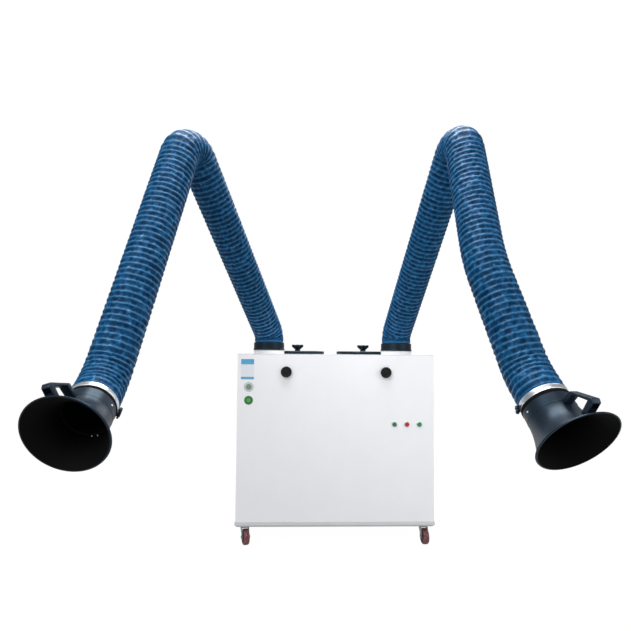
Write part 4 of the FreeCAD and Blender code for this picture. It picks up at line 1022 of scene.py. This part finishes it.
class EXTRACTOR_OT_hoses(StepOperator, bpy.types.Operator):
    """Rib the blue hoses, each in four stretches along its arm"""
    bl_idname = "extractor.hoses"
    bl_label = "Hoses"

    def execute(self, context):
        for name in SIDES:
            place = arm(name)
            pieces = hose_route(place)
            lengths = [p[4] for p in pieces]
            total = sum(lengths)
            shoulder_end = sum(lengths[:2])
            elbow_begin = sum(lengths[:3])
            elbow_end = sum(lengths[:4])
            wrist_begin = total - sum(lengths[-2:])
            wrist_end = total - lengths[-1]
            twist_begin = elbow_end + TWIST_AFTER_ELBOW
            twist_end = wrist_begin - TWIST_BEFORE_WRIST
            seams = [0.0, (shoulder_end + elbow_begin) / 2, twist_begin, twist_end, total]
            pairs = (("turntable_", "lower_arm_", lengths[0], shoulder_end),
                     ("lower_arm_", "forearm_", elbow_begin, elbow_end),
                     ("forearm_", "wrist_", twist_begin + TWIST_INSET, twist_end - TWIST_INSET),
                     ("wrist_", "hood_", wrist_begin, wrist_end))
            for k, (first, second, begin, end) in enumerate(pairs):
                bm = hose_stretch(place, pieces, seams[k], seams[k + 1], total)
                title = "Hose %s %d" % (name, k + 1)
                obj = piece(title, bm, hose_cloth(), None, keep_sharp=180)
                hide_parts("hose_" + name)
                along(pieces, begin)[0]
                along(pieces, end)[0]
                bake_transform(obj)
        return {"FINISHED"}


class EXTRACTOR_OT_hoods(StepOperator, bpy.types.Operator):
    """Flare the black hoods, their handles and the bright hose clamps"""
    bl_idname = "extractor.hoods"
    bl_label = "Hoods"

    def execute(self, context):
        for name in SIDES:
            place = arm(name)
            stand = axes(place["wrist"], place["handle"], place["hood"])
            body = "hood_" + name
            bm = self.trumpet()
            # Faces towards the passage get a darker copy of the black: painted shade inside the hood
            inner = [f.index for f in bm.faces if self.faces_in(f)]
            trumpet = piece("Hood " + name, put(bm, stand), black_moulding(), body, body)
            trumpet.data.materials.append(painted_shade_black())
            for index in inner:
                trumpet.data.polygons[index].material_index = 1
            grip = put(self.handle(place["side"]), stand)
            piece("Hood handle " + name, grip, black_moulding(), body, "hood_handle_" + name)
            outer_side = place["outward"] * math.cos(CLASP_TURN) + place["above"] * math.sin(CLASP_TURN)
            clasp = axes(place["wrist"], outer_side, place["hood"])
            piece("Hose clamp " + name, put(self.band(), clasp), bright_steel(), body, "hose_clamp_" + name)
            piece("Clamp bolt " + name, put(self.ears(), clasp), black_coat(), body)
            # The neck ring wears the same darker black, painted shade
            piece("Neck ring " + name, put(self.neck_ring(), stand), painted_shade_black(), body)
            self.screws(name, place, stand, clasp)
        return {"FINISHED"}

    def faces_in(self, face):
        """Whether a face of the trumpet looks towards its passage."""
        hood = form("hood")
        centre = face.calc_center_median()
        share = min(max((centre.z - hood.reach - hood.neck_length) / hood.flare_length, 0.0), 1.0)
        away = Vector((centre.x - hood.mouth_offset * share ** 2, centre.y, 0))
        return face.normal.dot(away.normalized()) < -0.05

    def trumpet(self):
        """Moulded trumpet with a sleeve, a ridged neck and a rolled rim."""
        hood = form("hood")
        begin = hood.reach + hood.neck_length
        mouth = begin + hood.flare_length
        low = hood.reach - hood.sleeve
        bore = 0.0775
        outer = [(0.0805, low), (0.0805, hood.reach + 0.0003), (hood.neck_radius, hood.reach + 0.0003),
                 (hood.neck_radius, begin - 0.005), (hood.neck_radius + 0.0008, begin - 0.004),
                 (hood.neck_radius + 0.0008, begin - 0.001), (hood.neck_radius, begin)]
        grow = hood.mouth_radius - hood.neck_radius
        steps = 22
        for k in range(1, steps):
            share = k / steps
            outer.append((hood.neck_radius + grow * share ** 2, begin + hood.flare_length * share))
        lip = hood.mouth_radius
        outer += [(lip, mouth - 0.0045), (lip + 0.0028, mouth - 0.0038), (lip + 0.0028, mouth - 0.0008),
                  (lip + 0.001, mouth), (lip - 0.002, mouth)]
        for k in range(steps, -1, -1):
            share = k / steps
            radius = hood.neck_radius + grow * share ** 2 - hood.wall
            outer.append((radius, begin + hood.flare_length * share - 0.0022 * share))
        outer += [(bore, begin - 0.004), (bore, low)]
        bm = lathe(outer, 144)
        return hood_bend(bm)

    def handle(self, side):
        """Two posts and a sloping strap in one moulding, with an open pocket at the rim end."""
        outline = [(0.0845, 0.199), (0.132, 0.199), (0.190, 0.2755), (0.1845, 0.290), (0.1428, 0.2975),
                   (0.1215, 0.279), (0.1705, 0.2685), (0.1340, 0.2165), (0.0865, 0.2165)]
        bm = prism(outline, 0.031, 0.003, 4)
        bmesh.ops.bisect_plane(bm, geom=bm.verts[:] + bm.edges[:] + bm.faces[:], plane_co=(0.160, 0, 0),
                               plane_no=(1, 0, 0))
        ends = [f for f in bm.faces if f.normal.z > 0.8 and f.calc_area() > 1e-4]
        end = max(ends, key=lambda f: f.calc_center_median().x)
        bmesh.ops.inset_individual(bm, faces=[end], thickness=0.003, depth=0.0)
        bmesh.ops.translate(bm, vec=(-0.004, 0, -0.02), verts=end.verts)
        return put(bm, Matrix.Rotation(HANDLE_TURN * side, 4, "Z"))

    def band(self):
        """Bright band with a rolled edge on both sides."""
        at = form("hood").reach - CLAMP_BACK
        low, high = at - CLAMP_HALF, at + CLAMP_HALF
        roll = CLAMP_OUTER + 0.0006
        outline = [(CLAMP_INNER, low), (CLAMP_OUTER, low), (roll, low + 0.0015), (CLAMP_OUTER, low + 0.003),
                   (CLAMP_OUTER, high - 0.003), (roll, high - 0.0015), (CLAMP_OUTER, high),
                   (CLAMP_INNER, high)]
        return lathe(rounded(outline, 0.0004, 2), 128)

    def ears(self):
        """Two turned-out ears with a bolt and its head, towards -X."""
        at = form("hood").reach - CLAMP_BACK
        bolt_x = -CLAMP_OUTER - 0.007
        bolt_half = 0.023
        parts = []
        for side in (-1, 1):
            ear_y = side * 0.006
            low = (-CLAMP_OUTER - 0.0135, ear_y - 0.002, at - CLAMP_HALF)
            high = (-CLAMP_INNER - 0.0005, ear_y + 0.002, at + CLAMP_HALF)
            parts.append(block(low, high, 0.0008, 2))
        outline = [(0, -bolt_half), (0.004, -bolt_half), (0.004, bolt_half), (0, bolt_half)]
        shaft = lathe(rounded(outline, 0.0008, 2, False), 24, False)
        parts.append(put(shaft, axes((bolt_x, 0, at), (1, 0, 0), (0, 1, 0))))
        parts.append(put(hexagon(0.0072, 0.006), forwards(bolt_x, -0.017, at)))
        return joined(*parts)

    def neck_ring(self):
        """Black ring between the clamp and the neck, in the darker black of painted shade."""
        low = form("hood").reach - 0.0055
        high = low + 0.0135
        inner, edge, crown = 0.0842, 0.0858, 0.0872
        outline = [(inner, low), (edge, low), (crown, low + 0.003), (crown, high - 0.002), (edge, high),
                   (inner, high)]
        return lathe(rounded(outline, 0.0006, 2), 112)

    def screws(self, name, place, stand, clasp):
        """Two neck screws outside and two screw heads inside the hood."""
        hood = form("hood")
        heads = []
        out = put(dome_screw(0.0045), axes((0.0855, 0.012, hood.reach + 0.016), UP, (1, 0.14, 0)))
        heads.append(put(out, clasp))
        for degrees, radius, height, facing in HOOD_SCREWS:
            turn = math.radians(-place["side"] * degrees)
            spoke = Vector((math.cos(turn), math.sin(turn), 0))
            seat = axes(spoke * radius + UP * (hood.reach + height), UP, spoke * facing)
            heads.append(put(dome_screw(0.004), stand @ seat))
        piece("Hood screws " + name, joined(*heads), bright_steel(), "hood_" + name)


class EXTRACTOR_OT_stage(StepOperator, bpy.types.Operator):
    """Set floor, lights, background and the photo's camera"""
    bl_idname = "extractor.stage"
    bl_label = "Stage"

    def execute(self, context):
        self.floor()
        self.lights()
        self.world(context.scene)
        self.camera(context.scene)
        return {"FINISHED"}

    def floor(self):
        """Pale floor that fades into the background."""
        bm = bmesh.new()
        bmesh.ops.create_grid(bm, x_segments=2, y_segments=2, size=20.0)
        material, tree = start("Pale floor")
        place = add(tree, "ShaderNodeTexCoord").outputs["Object"]
        cloud = add(tree, "ShaderNodeTexNoise", in_Vector=place, in_Scale=per_metre(500), in_Detail=3.0,
                    in_Roughness=0.55)
        shades = add(tree, "ShaderNodeValToRGB", ((0.0, "2a2a2a"), (1.0, "2c2c2c")), in_Fac=cloud)
        seen = add(tree, "ShaderNodeLightPath").outputs["Is Camera Ray"]
        glow = add(tree, "ShaderNodeMapRange", in_Value=seen, in_To_Min=0.5, in_To_Max=0.97)
        shader = add(tree, "ShaderNodeBsdfPrincipled", in_Base_Color=shades, in_Roughness=0.9,
                     in_Emission_Color=(1, 1, 1, 1), in_Emission_Strength=glow)
        add(tree, "ShaderNodeOutputMaterial", in_Surface=shader)
        obj = piece("Floor", bm, material, None)

    def lights(self):
        """Large soft lights from the front left, the right and above."""
        plan = (("Key", (-2.6, -4.2, 3.6), 3.0, 155.0), ("Fill", (3.4, -3.2, 2.2), 3.0, 55.0),
                ("Top", (0.0, -0.4, 4.6), 3.0, 215.0), ("Back", (1.2, 3.5, 3.2), 2.5, 50.0))
        target = Vector((0.0, -0.4, 0.95))
        for name, at, size, power in plan:
            light = bpy.data.lights.new(name, "AREA")
            light.size = size
            light.energy = power
            obj = bpy.data.objects.new(name, light)
            aim = target - Vector(at)
            obj.matrix_world = Matrix.Translation(at) @ aim.to_track_quat("-Z", "Y").to_matrix().to_4x4()
            bpy.context.scene.collection.objects.link(obj)

    def world(self, scene):
        """White behind the object, softer grey for its lighting."""
        world = bpy.data.worlds.new("Studio")
        world.use_nodes = True
        tree = world.node_tree
        tree.nodes.clear()
        rays = add(tree, "ShaderNodeLightPath").outputs["Is Camera Ray"]
        seen = add(tree, "ShaderNodeBackground", in_Color=(1, 1, 1, 1), in_Strength=1.0)
        soft = add(tree, "ShaderNodeBackground", in_Color=(0.95, 0.97, 1, 1), in_Strength=0.32)
        mix = add(tree, "ShaderNodeMixShader", in_0=rays, in_1=soft, in_2=seen)
        add(tree, "ShaderNodeOutputWorld", in_Surface=mix)
        scene.world = world
        scene.view_settings.view_transform = "Standard"

    def camera(self, scene):
        """Camera of the photograph, a little above the cabinet top."""
        data = bpy.data.cameras.new("Photo camera")
        obj = bpy.data.objects.new("Photo camera", data)
        scene.collection.objects.link(obj)
        yaw, pitch, roll = (math.radians(v) for v in CAMERA_TURNS)
        ahead = Vector((math.sin(yaw) * math.cos(pitch), math.cos(yaw) * math.cos(pitch), math.sin(pitch)))
        level = Vector((math.cos(yaw), -math.sin(yaw), 0))
        above = level.cross(ahead)
        right = level * math.cos(roll) + above * math.sin(roll)
        up = above * math.cos(roll) - level * math.sin(roll)
        turn = Matrix((right, up, -ahead)).transposed().to_4x4()
        obj.matrix_world = Matrix.Translation(CAMERA_PLACE) @ turn
        data.sensor_width = SENSOR_WIDTH
        data.lens = SENSOR_WIDTH * FOCAL_PIXELS / PICTURE_SIZE
        data.shift_x, data.shift_y = (shift / PICTURE_SIZE for shift in SHIFT_PIXELS)
        data.clip_end = 60.0
        scene.camera = obj
        scene.render.resolution_x = PICTURE_SIZE
        scene.render.resolution_y = PICTURE_SIZE
        scene.render.film_transparent = False


class EXTRACTOR_PT_panel(bpy.types.Panel):
    """Sidebar panel with the building steps and their sizes"""
    bl_idname = "EXTRACTOR_PT_panel"
    bl_label = "Fume extractor"
    bl_space_type = "VIEW_3D"
    bl_region_type = "UI"
    bl_category = "Extractor"

    def draw(self, context):
        for step in STEPS:
            self.layout.operator(step.bl_idname)
        for name, _ in GROUPS:
            group = form(name)
            for key in group.bl_rna.properties.keys():
                if key not in {"rna_type", "name"}:
                    self.layout.prop(group, key)


GROUPS = (("finish", FinishSettings), ("cabinet", CabinetSettings), ("hose", HoseSettings),
          ("hood", HoodSettings))
STEPS = (EXTRACTOR_OT_finishes, EXTRACTOR_OT_front, EXTRACTOR_OT_controls, EXTRACTOR_OT_knobs,
         EXTRACTOR_OT_lids, EXTRACTOR_OT_castors, EXTRACTOR_OT_bases, EXTRACTOR_OT_hoses,
         EXTRACTOR_OT_hoods, EXTRACTOR_OT_stage)


def register():
    """Adds the settings, steps and panel."""
    for name, group in GROUPS:
        bpy.utils.register_class(group)
        setattr(bpy.types.Scene, "extractor_" + name, bpy.props.PointerProperty(type=group))
    for step in STEPS:
        bpy.utils.register_class(step)
    bpy.utils.register_class(EXTRACTOR_PT_panel)


def unregister():
    """Removes them again."""
    bpy.utils.unregister_class(EXTRACTOR_PT_panel)
    for step in reversed(STEPS):
        bpy.utils.unregister_class(step)
    for name, group in reversed(GROUPS):
        delattr(bpy.types.Scene, "extractor_" + name)
        bpy.utils.unregister_class(group)


def main():
    """Builds everything in order."""
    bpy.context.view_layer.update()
    register()
    for step in STEPS:
        group, action = step.bl_idname.split(".")
        getattr(getattr(bpy.ops, group), action)()


if __name__ == "__main__":
    main()
